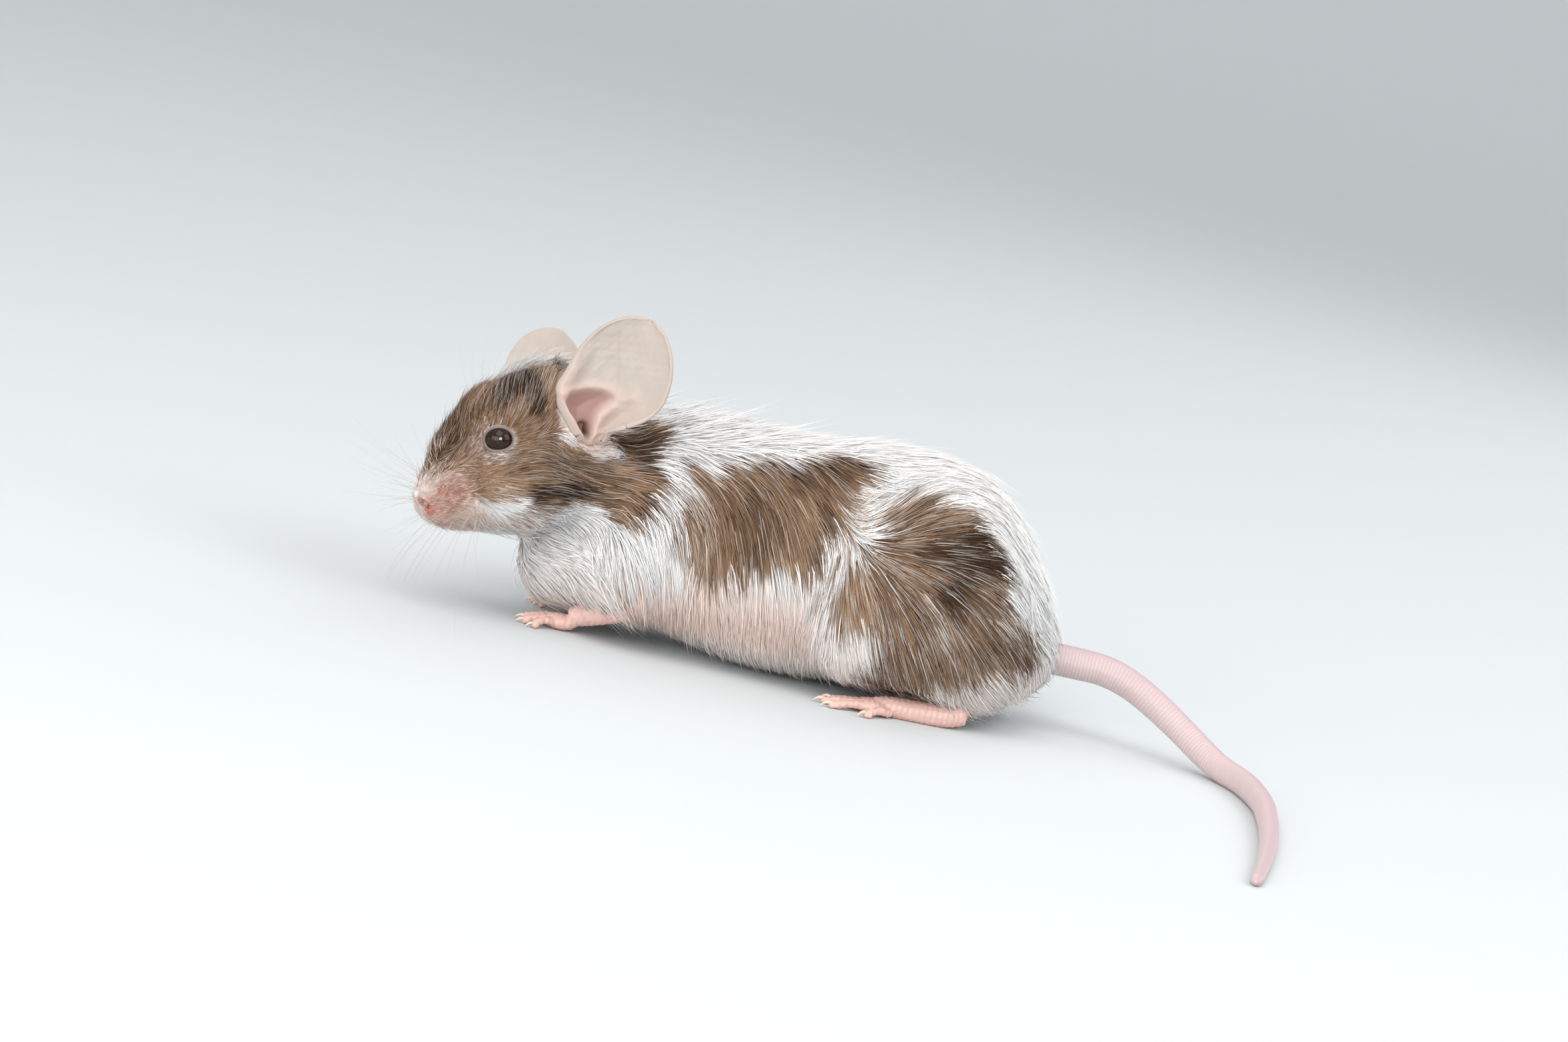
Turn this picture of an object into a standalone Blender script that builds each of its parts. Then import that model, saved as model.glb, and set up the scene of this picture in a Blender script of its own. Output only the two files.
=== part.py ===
"""A fancy house mouse, life-size and still, crouching on a flat floor with its head turned a little to its left.

The body is shaped as a sculptor would: rounded masses are laid over one another, fused into one skin of
flesh and coat, and then parted with thin cuts where a person would name a limb, the neck or the head.
Lengths are in millimetres until an object is made. The nose points along -X, the left side is -Y, +Z is up,
and the soles, the toes and the underside of the tail are flat at the level of the floor.
"""

import math

import bpy
import numpy as np
from mathutils import Matrix, Vector

MM = 0.001

# Driving dimensions
CUT = 0.3  # gap left by each parting cut
BODY_VOXEL = 0.6
BODY_SMOOTHING = 7
BODY_TRIANGLES = 2050
FOOT_VOXEL = 0.26
FOOT_SMOOTHING = 3
NECK_PIVOT = Vector((-36.0, 0.0, 20.0))
HEAD_YAW = 23.0  # the nose is turned towards the left side
HEAD_ROLL = 10.0  # the left ear is carried higher than the right one
EYE_RADIUS = 1.85
EAR_LENGTH = 17.2
EAR_WIDTH = 13.4
EAR_THICKNESS = 0.7
TAIL_ROOT_RADIUS = 2.1
TAIL_TIP_RADIUS = 0.75
SIDES = {"left": -1.0, "right": 1.0}

# The trunk's sections from the chest to the tail: place along X, underside, level of the widest line,
# back, and half the width there
TRUNK_SECTIONS = (
    ("chest front", -47.0, 7.0, 14.0, 25.0, 5.5),
    ("neck", -41.0, 3.0, 12.0, 29.2, 9.6),
    ("shoulders", -33.0, 1.7, 11.0, 30.2, 12.2),
    ("ribs", -24.0, 1.2, 10.5, 30.2, 13.8),
    ("flank", -15.0, 1.0, 10.5, 30.5, 14.8),
    ("loin", -7.0, 1.0, 11.0, 31.6, 15.2),
    ("hips", 1.0, 1.0, 11.5, 31.5, 15.4),
    ("croup", 8.0, 1.1, 12.0, 29.3, 14.0),
    ("rump", 13.0, 1.8, 11.5, 24.2, 11.4),
    ("tail head", 16.9, 3.4, 10.5, 17.9, 7.6),
    ("tail root", 19.6, 6.6, 9.8, 12.8, 3.0),
)

# Masses of flesh and coat over the trunk: centre, radii and pitch about Y. Those of a pair are on the left.
TRUNK_MASSES = {
    "breast": ((-41.4, -0.6, 7.4), (9.2, 8.6, 6.6), 0.0),
    "nape": ((-41.0, -0.6, 21.6), (10.0, 9.4, 8.9), 0.0),
    "belly": ((-16.0, 0.0, 7.0), (20.0, 13.6, 7.4), 0.0),
}
TRUNK_PAIRS = {
    "shoulder": ((-32.5, -7.4, 12.5), (8.6, 6.6, 9.6), 12.0),
    "upper arm": ((-36.5, -8.4, 8.2), (6.2, 4.4, 5.4), -20.0),
    "thigh": ((2.4, -9.4, 13.2), (13.4, 8.2, 13.4), -12.0),
    "knee": ((-5.4, -11.6, 8.0), (5.6, 4.4, 6.4), 0.0),
    "ham": ((8.9, -8.0, 9.0), (8.0, 7.2, 8.2), 0.0),
}

# Masses of the head before it is turned on the neck
HEAD_MASSES = {
    "skull": ((-50.6, 0.0, 22.5), (10.6, 8.2, 10.1), 0.0),
    "forehead": ((-57.0, 0.0, 23.9), (5.5, 5.2, 6.5), 30.0),
    "bridge": ((-60.4, 0.0, 19.0), (5.0, 3.9, 6.8), 12.0),
    "snout": ((-63.0, 0.0, 15.4), (3.2, 2.6, 4.4), 10.0),
    "nose": ((-65.2, 0.0, 14.2), (1.6, 1.5, 1.9), 0.0),
    "chin": ((-60.6, 0.0, 11.7), (4.2, 2.5, 2.0), 0.0),
    "jaw": ((-55.0, 0.0, 14.4), (7.0, 5.8, 4.4), 0.0),
}
HEAD_PAIRS = {
    "whisker pad": ((-62.5, -1.7, 13.3), (3.5, 2.4, 3.0), 0.0),
    "cheek": ((-53.4, -4.4, 16.7), (6.4, 4.4, 6.0), 0.0),
    "temple": ((-51.2, -3.9, 23.4), (7.0, 4.2, 6.4), 0.0),
    "ear bed": ((-46.6, -4.6, 22.0), (3.8, 3.2, 4.4), 0.0),
}
EYE_PLACE = (-57.7, -4.9, 22.1)

# The ears. Each is a leaf rolled into a funnel at its root. It leaves the head at the root, leans back and out,
# and its hollow faces away from the nose by the angle given.
EAR_ROOT = (-47.0, -8.0, 23.2)
EAR_BACK = {"left": 12.5, "right": 10.0}
EAR_OUT = {"left": 15.0, "right": 38.0}
EAR_FACING = {"left": 61.0, "right": 74.0}
EAR_ROLL_TOP = 24.0
EAR_ROLL_ROOT = 104.0

# Limbs
FOREPAW_WRIST = (-40.6, -6.2, 1.9)
FOREPAW_HEADING = 8.0  # degrees outwards
FOREARM = ((-34.0, -9.0, 6.4, 2.7), (-37.6, -7.6, 3.8, 2.1), (-40.8, -6.3, 2.1, 1.5))
HINDFOOT_HEEL = (8.6, -11.4, 1.25)
HINDFOOT_HEADING = 9.0
LEG_CELLS = {
    "foreleg": ((-35.0, -12.0, 9.4), (7.8, 6.6, 9.6), -14.0),
    "hindleg": ((2.4, -14.6, 12.6), (13.4, 9.2, 14.4), -10.0),
}
FOOT_POCKETS = {
    "forepaw": ((-40.8, -7.0, 0.6), (6.0, 3.0, 3.4)),
    "hindfoot": ((1.4, -12.6, -0.6), (11.4, 4.0, 4.0)),
}

# The tail's centre line seen from above, from its root to its tip, and how high it is carried
TAIL_COURSE = ((16.5, 0.2), (23.5, 0.4), (31.0, -0.4), (38.6, -3.4), (44.4, -9.6), (46.9, -18.6), (47.2, -28.6),
               (46.6, -38.6), (45.4, -48.6), (43.8, -58.4))
TAIL_ROOT_HEIGHT = 9.3
TAIL_LEVEL = 8.0  # the length over which the tail is held level
TAIL_DROP = 22.0  # the length over which it then comes down to the floor
TAIL_LENGTHS = {"tail_base": (0.0, 0.27), "tail_middle": (0.27, 0.64), "tail_tip": (0.64, 1.0)}

COLOURS = {
    "coat": ("#8F7F70", 0.85),
    "ear_skin": ("#DCC3B4", 0.6),
    "foot_skin": ("#DDB3AA", 0.6),
    "tail_skin": ("#DCC6CB", 0.6),
    "eye": ("#17100E", 0.08),
}


def clear_scene():
    for obj in list(bpy.data.objects):
        bpy.data.objects.remove(obj, do_unlink=True)


def make_collection(name, shown=True):
    made = bpy.data.collections.new(name)
    made.hide_render = not shown
    bpy.context.scene.collection.children.link(made)
    return made


def make_material(name):
    code, roughness = COLOURS[name]
    channels = [int(code[i:i + 2], 16) / 255 for i in (1, 3, 5)]
    linear = [c / 12.92 if c <= 0.04045 else ((c + 0.055) / 1.055) ** 2.4 for c in channels]
    made = bpy.data.materials.new(name)
    made.use_nodes = True
    shader = made.node_tree.nodes["Principled BSDF"]
    shader.inputs["Base Color"].default_value = (*linear, 1.0)
    shader.inputs["Roughness"].default_value = roughness
    shader.inputs["Metallic"].default_value = 0.0
    return made


def hide(obj):
    """Marks a cutter or a working shape, which isn't part of the model."""
    obj.hide_render = True
    obj.display_type = "WIRE"
    return obj


def put_in(obj, collection):
    for other in list(obj.users_collection):
        other.objects.unlink(obj)
    collection.objects.link(obj)
    return obj


def mirrored(place, side):
    """A place given for the left side, on the side asked for."""
    return Vector((place[0], -place[1] * side, *place[2:3]))


def head_turn():
    """Turns the head on the neck: first rolled, then yawed to the left."""
    away = Matrix.Translation(NECK_PIVOT)
    yaw = Matrix.Rotation(math.radians(HEAD_YAW), 4, "Z")
    roll = Matrix.Rotation(math.radians(-HEAD_ROLL), 4, "X")
    return away @ yaw @ roll @ away.inverted()


def to_metres(matrix):
    """A placement in millimetres as one in metres."""
    return Matrix.Translation(matrix.translation * MM) @ matrix.to_3x3().to_4x4()


def ellipsoid(name, centre, radii, pitch=0.0, placed=Matrix.Identity(4), grow=0.0, rings=14):
    bpy.ops.mesh.primitive_uv_sphere_add(segments=2 * rings, ring_count=rings, radius=1.0)
    made = bpy.context.object
    made.name = name
    made.data.transform(Matrix.Diagonal([(r + grow) * MM for r in radii]).to_4x4())
    turned = Matrix.Translation(Vector(centre)) @ Matrix.Rotation(math.radians(pitch), 4, "Y")
    made.matrix_world = to_metres(placed @ turned)
    return put_in(made, WORKSHOP)


def box(name, low, high, placed=Matrix.Identity(4)):
    low, high = Vector(low), Vector(high)
    bpy.ops.mesh.primitive_cube_add(size=1.0)
    made = bpy.context.object
    made.name = name
    made.data.transform(Matrix.Diagonal((high - low) * MM).to_4x4())
    made.matrix_world = to_metres(placed @ Matrix.Translation((low + high) / 2))
    return hide(put_in(made, WORKSHOP))


def tube(name, course, sides=2):
    """A round limb through (x, y, z, radius) points, as a beveled curve."""
    curve = bpy.data.curves.new(name, "CURVE")
    curve.dimensions = "3D"
    curve.bevel_depth = MM
    curve.bevel_resolution = sides
    curve.use_fill_caps = True
    spline = curve.splines.new("POLY")
    spline.points.add(len(course) - 1)
    for point, (x, y, z, radius) in zip(spline.points, course):
        point.co = (x * MM, y * MM, z * MM, 1.0)
        point.radius = radius
    made = bpy.data.objects.new(name, curve)
    return put_in_new(made)


def put_in_new(obj):
    WORKSHOP.objects.link(obj)
    return obj


def evaluated_mesh(obj):
    """The object's final mesh as one closed surface in world space."""
    bpy.context.view_layer.update()
    graph = bpy.context.evaluated_depsgraph_get()
    mesh = bpy.data.meshes.new_from_object(obj.evaluated_get(graph))
    mesh.transform(obj.matrix_world)
    return mesh


def smooth_path(points, count):
    """Places along a Catmull-Rom curve through the points, evenly spaced by the curve's own length."""
    p = np.array(points, float)
    p = np.vstack([2 * p[0] - p[1], p, 2 * p[-1] - p[-2]])
    places = []
    for a, b, c, d in zip(p, p[1:], p[2:], p[3:]):
        for t in np.linspace(0, 1, 40, endpoint=False):
            places.append(0.5 * (2 * b + (c - a) * t + (2 * a - 5 * b + 4 * c - d) * t ** 2
                                 + (3 * b - a - 3 * c + d) * t ** 3))
    places = np.array([*places, p[-2]])
    run = np.concatenate([[0.0], np.cumsum(np.linalg.norm(np.diff(places, axis=0), axis=1))])
    wanted = np.linspace(0, run[-1], count)
    return np.stack([np.interp(wanted, run, axis) for axis in places.T], 1), run[-1]


def trunk_loft():
    """The trunk from the chest to the tail root: rings that are round over the back and broader below."""
    stations = np.array([row[1:] for row in TRUNK_SECTIONS])
    along = np.arange(len(stations))
    fine = np.linspace(0, along[-1], 45)
    x, low, widest, high, width = (smooth_path(list(zip(along, column)), 400)[0] for column in stations.T)
    rings, around = [], np.linspace(0, 2 * math.pi, 40, endpoint=False)
    for at in fine:
        here = [np.interp(at, column[:, 0], column[:, 1]) for column in (x, low, widest, high, width)]
        place, under, level, back, half = here
        rise = np.where(np.sin(around) > 0, back - level, level - under)
        across = half * np.sign(np.cos(around)) * np.abs(np.cos(around)) ** 0.86
        up = level + rise * np.sign(np.sin(around)) * np.abs(np.sin(around)) ** 0.92
        rings.append(np.stack([np.full_like(across, place), across, up], 1))
    points = np.concatenate(rings) * MM
    n = len(around)
    faces = [(r * n + i, r * n + (i + 1) % n, (r + 1) * n + (i + 1) % n, (r + 1) * n + i)
             for r in range(len(rings) - 1) for i in range(n)]
    faces += [tuple(reversed(range(n))), tuple((len(rings) - 1) * n + i for i in range(n))]
    mesh = bpy.data.meshes.new("trunk loft")
    mesh.from_pydata(points.tolist(), [], faces)
    mesh.flip_normals()
    return put_in_new(bpy.data.objects.new("trunk loft", mesh))


def fuse(name, pieces, voxel, smoothing, triangles):
    """Overlapping masses made one closed surface, softened where they meet, with a set number of triangles."""
    bpy.ops.object.select_all(action="DESELECT")
    merged = []
    for piece in pieces:
        merged.append(put_in_new(bpy.data.objects.new(piece.name + " flesh", evaluated_mesh(piece))))
        bpy.data.objects.remove(piece, do_unlink=True)
    for piece in merged:
        piece.select_set(True)
    bpy.context.view_layer.objects.active = merged[0]
    bpy.ops.object.join()
    whole = bpy.context.object
    remesh = whole.modifiers.new("one skin", "REMESH")
    remesh.mode = "VOXEL"
    remesh.voxel_size = voxel * MM
    soften = whole.modifiers.new("soften", "SMOOTH")
    soften.factor = 0.5
    soften.iterations = smoothing
    fewer = whole.modifiers.new("fewer faces", "DECIMATE")
    bpy.context.view_layer.update()
    fewer.ratio = 1.0
    graph = bpy.context.evaluated_depsgraph_get()
    count = len(whole.evaluated_get(graph).data.loop_triangles) or 2 * len(whole.evaluated_get(graph).data.polygons)
    fewer.ratio = min(1.0, triangles / count)
    fewer.use_collapse_triangulate = True
    fused = put_in_new(bpy.data.objects.new(name, evaluated_mesh(whole)))
    bpy.data.objects.remove(whole, do_unlink=True)
    return hide(fused)


def make_flesh():
    """The whole animal but for its ears, eyes, paws, feet and tail."""
    pieces = [trunk_loft()]
    for name, (centre, radii, pitch) in TRUNK_MASSES.items():
        pieces.append(ellipsoid(name, centre, radii, pitch))
    for side_name, side in SIDES.items():
        for name, (centre, radii, pitch) in TRUNK_PAIRS.items():
            pieces.append(ellipsoid(f"{name} {side_name}", mirrored(centre, side), radii, pitch))
        for name, (centre, radii, pitch) in HEAD_PAIRS.items():
            pieces.append(ellipsoid(f"{name} {side_name}", mirrored(centre, side), radii, pitch, head_turn()))
    for name, (centre, radii, pitch) in HEAD_MASSES.items():
        pieces.append(ellipsoid(name, centre, radii, pitch, head_turn()))
    whole = fuse("whole", pieces, BODY_VOXEL, BODY_SMOOTHING, BODY_TRIANGLES)
    for side_name, side in SIDES.items():
        for name, (centre, radii) in FOOT_POCKETS.items():
            cut(whole, ellipsoid(f"{name} pocket {side_name}", mirrored(centre, side), radii))
    cut(whole, FLOOR)
    return settled(whole)


def settled(obj):
    """The same object with its modifiers worked into its mesh."""
    obj.data = evaluated_mesh(obj)
    obj.modifiers.clear()
    return obj


def cut(obj, cutter, operation="DIFFERENCE", folded=False):
    modifier = obj.modifiers.new(f"{operation.lower()} {cutter.name}", "BOOLEAN")
    modifier.operation = operation
    modifier.solver = "EXACT"
    modifier.use_self = folded
    modifier.object = hide(cutter)


def clear_of(obj, whole):
    """Cuts the object off a little outside the body's surface, so that the two don't overlap."""
    body = put_in_new(bpy.data.objects.new(f"body at {obj.name}", whole.data.copy()))
    gap = body.modifiers.new("gap", "DISPLACE")
    gap.strength = CUT * MM
    gap.mid_level = 0.0
    cut(obj, body, folded=True)


def node(name, mesh, material):
    made = bpy.data.objects.new(name, mesh)
    made.data.materials.clear()
    made.data.materials.append(bpy.data.materials[material])
    MOUSE.objects.link(made)
    return made


def part_the_flesh(whole):
    """Cuts head, neck, trunk and the upper legs apart, with the gap of a thin cut between them."""
    neck_plane = Matrix.Translation(NECK_PIVOT + Vector((-7.0, 0, 0))) @ Matrix.Rotation(math.radians(HEAD_YAW), 4, "Z")
    neck_plane = neck_plane @ Matrix.Rotation(math.radians(35), 4, "Y")
    chest_plane = Matrix.Translation(NECK_PIVOT + Vector((-0.5, 0, 0))) @ Matrix.Rotation(math.radians(35), 4, "Y")
    far = 90.0
    before_neck = box("before the neck", (-far, -far, -far), (0, far, far), neck_plane)
    behind_head = box("behind the head", (CUT, -far, -far), (far, far, far), neck_plane)
    before_chest = box("before the chest", (-far, -far, -far), (0, far, far), chest_plane)
    behind_neck = box("behind the neck", (CUT, -far, -far), (far, far, far), chest_plane)
    head, neck, trunk = (node(name, whole.data.copy(), "coat") for name in ("head", "neck", "trunk"))
    cut(head, before_neck, "INTERSECT")
    cut(neck, behind_head, "INTERSECT")
    cut(neck, before_chest, "INTERSECT")
    cut(trunk, behind_neck, "INTERSECT")
    for side_name, side in SIDES.items():
        for name, (centre, radii, pitch) in LEG_CELLS.items():
            place = mirrored(centre, side)
            cell = ellipsoid(f"{name} cell {side_name}", place, radii, pitch, rings=9)
            around = ellipsoid(f"{name} parting {side_name}", place, radii, pitch, grow=CUT, rings=9)
            leg = node(f"{name}_{side_name}", whole.data.copy(), "coat")
            cut(leg, cell, "INTERSECT")
            if name == "foreleg":
                cut(leg, behind_neck, "INTERSECT")
            cut(trunk, around)
    return head


def make_eyes(head):
    for side_name, side in SIDES.items():
        place = mirrored(EYE_PLACE, side)
        eye = ellipsoid(f"eye_{side_name}", place, (EYE_RADIUS,) * 3, placed=head_turn(), rings=7)
        put_in(eye, MOUSE)
        eye.data.materials.append(bpy.data.materials["eye"])
        eye.data.shade_smooth()
        socket_radii = (EYE_RADIUS + CUT / 2,) * 3
        cut(head, ellipsoid(f"eye socket {side_name}", place, socket_radii, placed=head_turn(), rings=8))


def ear_frame(side_name, side):
    """The ear's own axes in the head: across it, into its hollow, and along it."""
    back = math.tan(math.radians(EAR_BACK[side_name]))
    out = math.radians(EAR_OUT[side_name])
    along = Vector((back * math.cos(out), side * math.sin(out), math.cos(out))).normalized()
    facing = math.radians(EAR_FACING[side_name])
    open_to = Vector((-math.cos(facing), side * math.sin(facing), 0))
    open_to = (open_to - along * open_to.dot(along)).normalized()
    across = along.cross(open_to)
    turn = Matrix((across, open_to, along)).transposed().to_4x4()
    return Matrix.Translation(mirrored(EAR_ROOT, side)) @ turn


def ear_surface(side_name, side):
    """One ear as an open surface: arcs that are rolled up at the root and lie nearly flat at the tip."""
    across, along = 8, 9
    points = []
    for j in range(along + 1):
        v = (j / along) ** 0.9
        grown = math.sin(math.pi / 2 * min(1.0, v / 0.36))
        tip = math.sqrt(max(0.0, 1 - max(0.0, (v - 0.45) / 0.55) ** 2))
        half = EAR_WIDTH / 2 * (0.38 + 0.62 * grown) * max(tip, 0.12)
        roll = math.radians(EAR_ROLL_TOP + (EAR_ROLL_ROOT - EAR_ROLL_TOP) * (1 - v) ** 3)
        radius = half / roll
        for i in range(across + 1):
            angle = roll * (2 * i / across - 1)
            points.append(Vector((radius * math.sin(angle), radius * (1 - math.cos(angle)), v * EAR_LENGTH)))
    n = across + 1
    faces = [(j * n + i, j * n + i + 1, (j + 1) * n + i + 1, (j + 1) * n + i)
             for j in range(along) for i in range(across)]
    mesh = bpy.data.meshes.new(f"ear_{side_name}")
    mesh.from_pydata([p * MM for p in points], [], faces)
    mesh.transform(to_metres(head_turn() @ ear_frame(side_name, side)))
    return mesh


def make_ears(whole):
    """Each ear stands on the head, cut off a little above the coat so that the two don't overlap."""
    for side_name, side in SIDES.items():
        ear = node(f"ear_{side_name}", ear_surface(side_name, side), "ear_skin")
        ear.data.shade_smooth()
        thick = ear.modifiers.new("thickness", "SOLIDIFY")
        thick.thickness = EAR_THICKNESS * MM
        thick.offset = 0.0
        clear_of(ear, whole)


def digit(name, root, heading, reach, radius, arch, bend=0.0):
    """One toe: a short tube that arches off the foot and ends in a claw's point on the floor."""
    turn = math.radians(heading)
    course = []
    for t, lift, thick in ((0.0, 0.5, 0.9), (0.35, 1.0, 1.0), (0.7, 0.6, 0.92), (0.88, 0.1, 0.85), (1.0, -0.25, 0.5)):
        aside = bend * math.sin(math.pi * t)
        x = root[0] - reach * t * math.cos(turn)
        y = root[1] + reach * t * math.sin(turn) + aside
        course.append((x, y, max(root[2] + arch * lift, radius * thick * 0.6), radius * thick))
    return tube(name, course)


def make_forepaws(whole):
    for side_name, side in SIDES.items():
        wrist = mirrored(FOREPAW_WRIST, side)
        arm = [(*mirrored(point[:3], side), point[3]) for point in FOREARM]
        pieces = [tube("forearm", arm, 3)]
        pieces.append(ellipsoid("palm", wrist + Vector((-1.7, side * 0.2, -0.95)), (2.5, 1.75, 1.3)))
        for number, (fan, reach) in enumerate(((-26.0, 2.7), (-8.0, 3.9), (9.0, 3.8), (28.0, 2.7))):
            spread = side * (1.35 * (number - 1.5) / 1.5)
            root = wrist + Vector((-3.0, spread, -1.25))
            pieces.append(digit("finger", root, side * (fan + FOREPAW_HEADING), reach, 0.52, 0.35))
        paw = fuse(f"forepaw {side_name} flesh", pieces, FOOT_VOXEL, FOOT_SMOOTHING, 220)
        made = node(f"forepaw_{side_name}", paw.data, "foot_skin")
        cut(made, FLOOR)
        clear_of(made, whole)


def make_hindfeet(whole):
    for side_name, side in SIDES.items():
        heel = mirrored(HINDFOOT_HEEL, side)
        turn = math.radians(HINDFOOT_HEADING)
        forward = Vector((-math.cos(turn), side * math.sin(turn), 0))
        course = [(*(heel + forward * run + Vector((0, 0, rise))), radius)
                  for run, rise, radius in ((-0.6, 0.4, 1.5), (2.0, 0.1, 1.65), (6.0, 0.0, 1.6), (10.0, -0.1, 1.55))]
        pieces = [tube("sole", course, 3)]
        pieces.append(ellipsoid("ball", heel + forward * 10.6 + Vector((0, 0, -0.25)), (2.6, 2.3, 1.2)))
        toes = ((-30.0, 3.4, 8.9), (-10.0, 5.2, 11.0), (0.0, 5.6, 11.4), (10.0, 5.2, 11.0), (32.0, 3.4, 8.9))
        for number, (fan, reach, start) in enumerate(toes):
            spread = side * (1.75 * (number - 2) / 2)
            root = heel + forward * start + Vector((0, spread, -0.8))
            pieces.append(digit("toe", root, side * (fan + HINDFOOT_HEADING), reach, 0.56, 0.4))
        foot = fuse(f"hindfoot {side_name} flesh", pieces, FOOT_VOXEL, FOOT_SMOOTHING, 290)
        made = node(f"hindfoot_{side_name}", foot.data, "foot_skin")
        cut(made, FLOOR)
        clear_of(made, whole)


def tail_course():
    """The tail's centre line as (x, y, z, radius): carried off the rump, then lying on the floor to its tip."""
    plan, length = smooth_path(TAIL_COURSE, 121)
    share = np.linspace(0, 1, len(plan))
    radius = TAIL_ROOT_RADIUS + (TAIL_TIP_RADIUS - TAIL_ROOT_RADIUS) * share ** 1.15
    fallen = np.clip((share * length - TAIL_LEVEL) / TAIL_DROP, 0, 1)
    ease = 1 - fallen * fallen * (3 - 2 * fallen)
    rest = radius - 0.08
    height = rest + (TAIL_ROOT_HEIGHT - rest) * ease
    return np.column_stack([plan, height, radius])


def make_tail(whole):
    course = tail_course()
    last = len(course) - 1
    for name, (start, end) in TAIL_LENGTHS.items():
        first = round(start * last) + (1 if start else 0)
        rows = course[first:round(end * last) + 1].copy()
        if start:
            step = rows[1, :3] - rows[0, :3]
            rows[0, :3] -= step * (1 - 1.1 * CUT / np.linalg.norm(step))
        picked = np.vstack([rows[:-1:3], rows[-1]])
        length = tube(f"{name} flesh", [tuple(row) for row in picked], 3)
        mesh = evaluated_mesh(length)
        bpy.data.objects.remove(length, do_unlink=True)
        made = node(name, mesh, "tail_skin")
        weld = made.modifiers.new("caps", "WELD")
        weld.merge_threshold = 0.00002
        cut(made, FLOOR)
        if name == "tail_base":
            clear_of(made, whole)


def centre_on_floor():
    """Moves everything so that the origin is under the middle of the animal's bounding box, on the floor."""
    bpy.context.view_layer.update()
    graph = bpy.context.evaluated_depsgraph_get()
    corners = []
    for obj in MOUSE.objects:
        mesh = obj.evaluated_get(graph).to_mesh()
        corners += [obj.matrix_world @ v.co for v in mesh.vertices]
        obj.evaluated_get(graph).to_mesh_clear()
    places = np.array(corners)
    middle = (places.min(0) + places.max(0)) / 2
    shift = Vector((-middle[0], -middle[1], -places[:, 2].min()))
    stand = bpy.data.objects.new("mouse origin", None)
    WORKSHOP.objects.link(stand)
    for obj in bpy.data.objects:
        if obj is not stand:
            obj.parent = stand
    stand.location = shift
    print("shift from the design frame, mm:", [round(v / MM, 3) for v in shift])


clear_scene()
MOUSE = make_collection("house mouse")
WORKSHOP = make_collection("cutters and masses")
for colour in COLOURS:
    make_material(colour)
FLOOR = box("under the floor", (-120, -120, -30), (120, 120, 0))
flesh = make_flesh()
head_node = part_the_flesh(flesh)
make_eyes(head_node)
make_ears(flesh)
make_forepaws(flesh)
make_hindfeet(flesh)
make_tail(flesh)
centre_on_floor()
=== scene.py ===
import math

import bpy
import numpy as np
from mathutils import Matrix, Vector, kdtree


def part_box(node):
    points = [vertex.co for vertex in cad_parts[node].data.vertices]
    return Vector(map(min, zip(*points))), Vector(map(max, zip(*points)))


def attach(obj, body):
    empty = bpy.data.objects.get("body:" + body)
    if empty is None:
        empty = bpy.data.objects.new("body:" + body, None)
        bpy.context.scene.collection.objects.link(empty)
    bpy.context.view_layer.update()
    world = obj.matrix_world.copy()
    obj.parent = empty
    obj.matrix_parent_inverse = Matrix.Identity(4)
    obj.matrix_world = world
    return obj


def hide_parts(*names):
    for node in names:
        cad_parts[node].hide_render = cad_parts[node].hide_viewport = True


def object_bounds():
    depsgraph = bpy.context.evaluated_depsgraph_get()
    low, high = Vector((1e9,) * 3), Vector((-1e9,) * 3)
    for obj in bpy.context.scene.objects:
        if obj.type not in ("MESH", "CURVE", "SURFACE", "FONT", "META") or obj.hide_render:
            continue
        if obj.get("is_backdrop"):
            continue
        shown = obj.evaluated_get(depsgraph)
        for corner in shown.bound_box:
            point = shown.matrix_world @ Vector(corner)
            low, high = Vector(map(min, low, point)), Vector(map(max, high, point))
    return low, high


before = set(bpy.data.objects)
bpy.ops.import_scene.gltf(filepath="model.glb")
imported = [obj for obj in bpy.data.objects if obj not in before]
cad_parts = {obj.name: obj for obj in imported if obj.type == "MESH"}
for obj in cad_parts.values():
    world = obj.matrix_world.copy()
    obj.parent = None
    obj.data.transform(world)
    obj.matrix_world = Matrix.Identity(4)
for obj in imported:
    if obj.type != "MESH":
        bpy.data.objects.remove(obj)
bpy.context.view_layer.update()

# The stand of a still model
# A life-size study model of a fancy mouse, 85 mm from nose to rump, crouching with its head turned to the
# left. All shapes are worked out in millimetres with the nose towards -X, the left side towards -Y and
# the floor at 0, and are then carried to the frame's own place. The head's masses are given as on a mouse
# that looks ahead.
MM = 0.001
SIDES = {"left": -1.0, "right": 1.0}
NECK_PIVOT = np.array([-36.0, 0.0, 20.0])
NECK_RUN = np.array([0.819, 0.0, -0.574])  # from the head to the chest
NECK_MIDDLE = NECK_PIVOT + (-3.75, 0.0, 0.0)
NECK_REACH = 7.0
EYE_PLACE = np.array([-57.7, -4.9, 22.1])


def turn_about(axis, degrees):
    return np.array(Matrix.Rotation(math.radians(degrees), 3, axis))


HEAD_TURN = turn_about("Z", 23.0) @ turn_about("X", -10.0)


def turned(points):
    """Places on the head that looks ahead, as they are once it is turned on the neck."""
    return NECK_PIVOT + (np.asarray(points, float) - NECK_PIVOT) @ HEAD_TURN.T


def unturned(points):
    return NECK_PIVOT + (np.asarray(points, float) - NECK_PIVOT) @ HEAD_TURN


def smooth_step(values):
    clipped = np.clip(values, 0.0, 1.0)
    return clipped * clipped * (3 - 2 * clipped)


def unit(vectors):
    return vectors / np.maximum(np.linalg.norm(vectors, axis=-1, keepdims=True), 1e-9)


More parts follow.
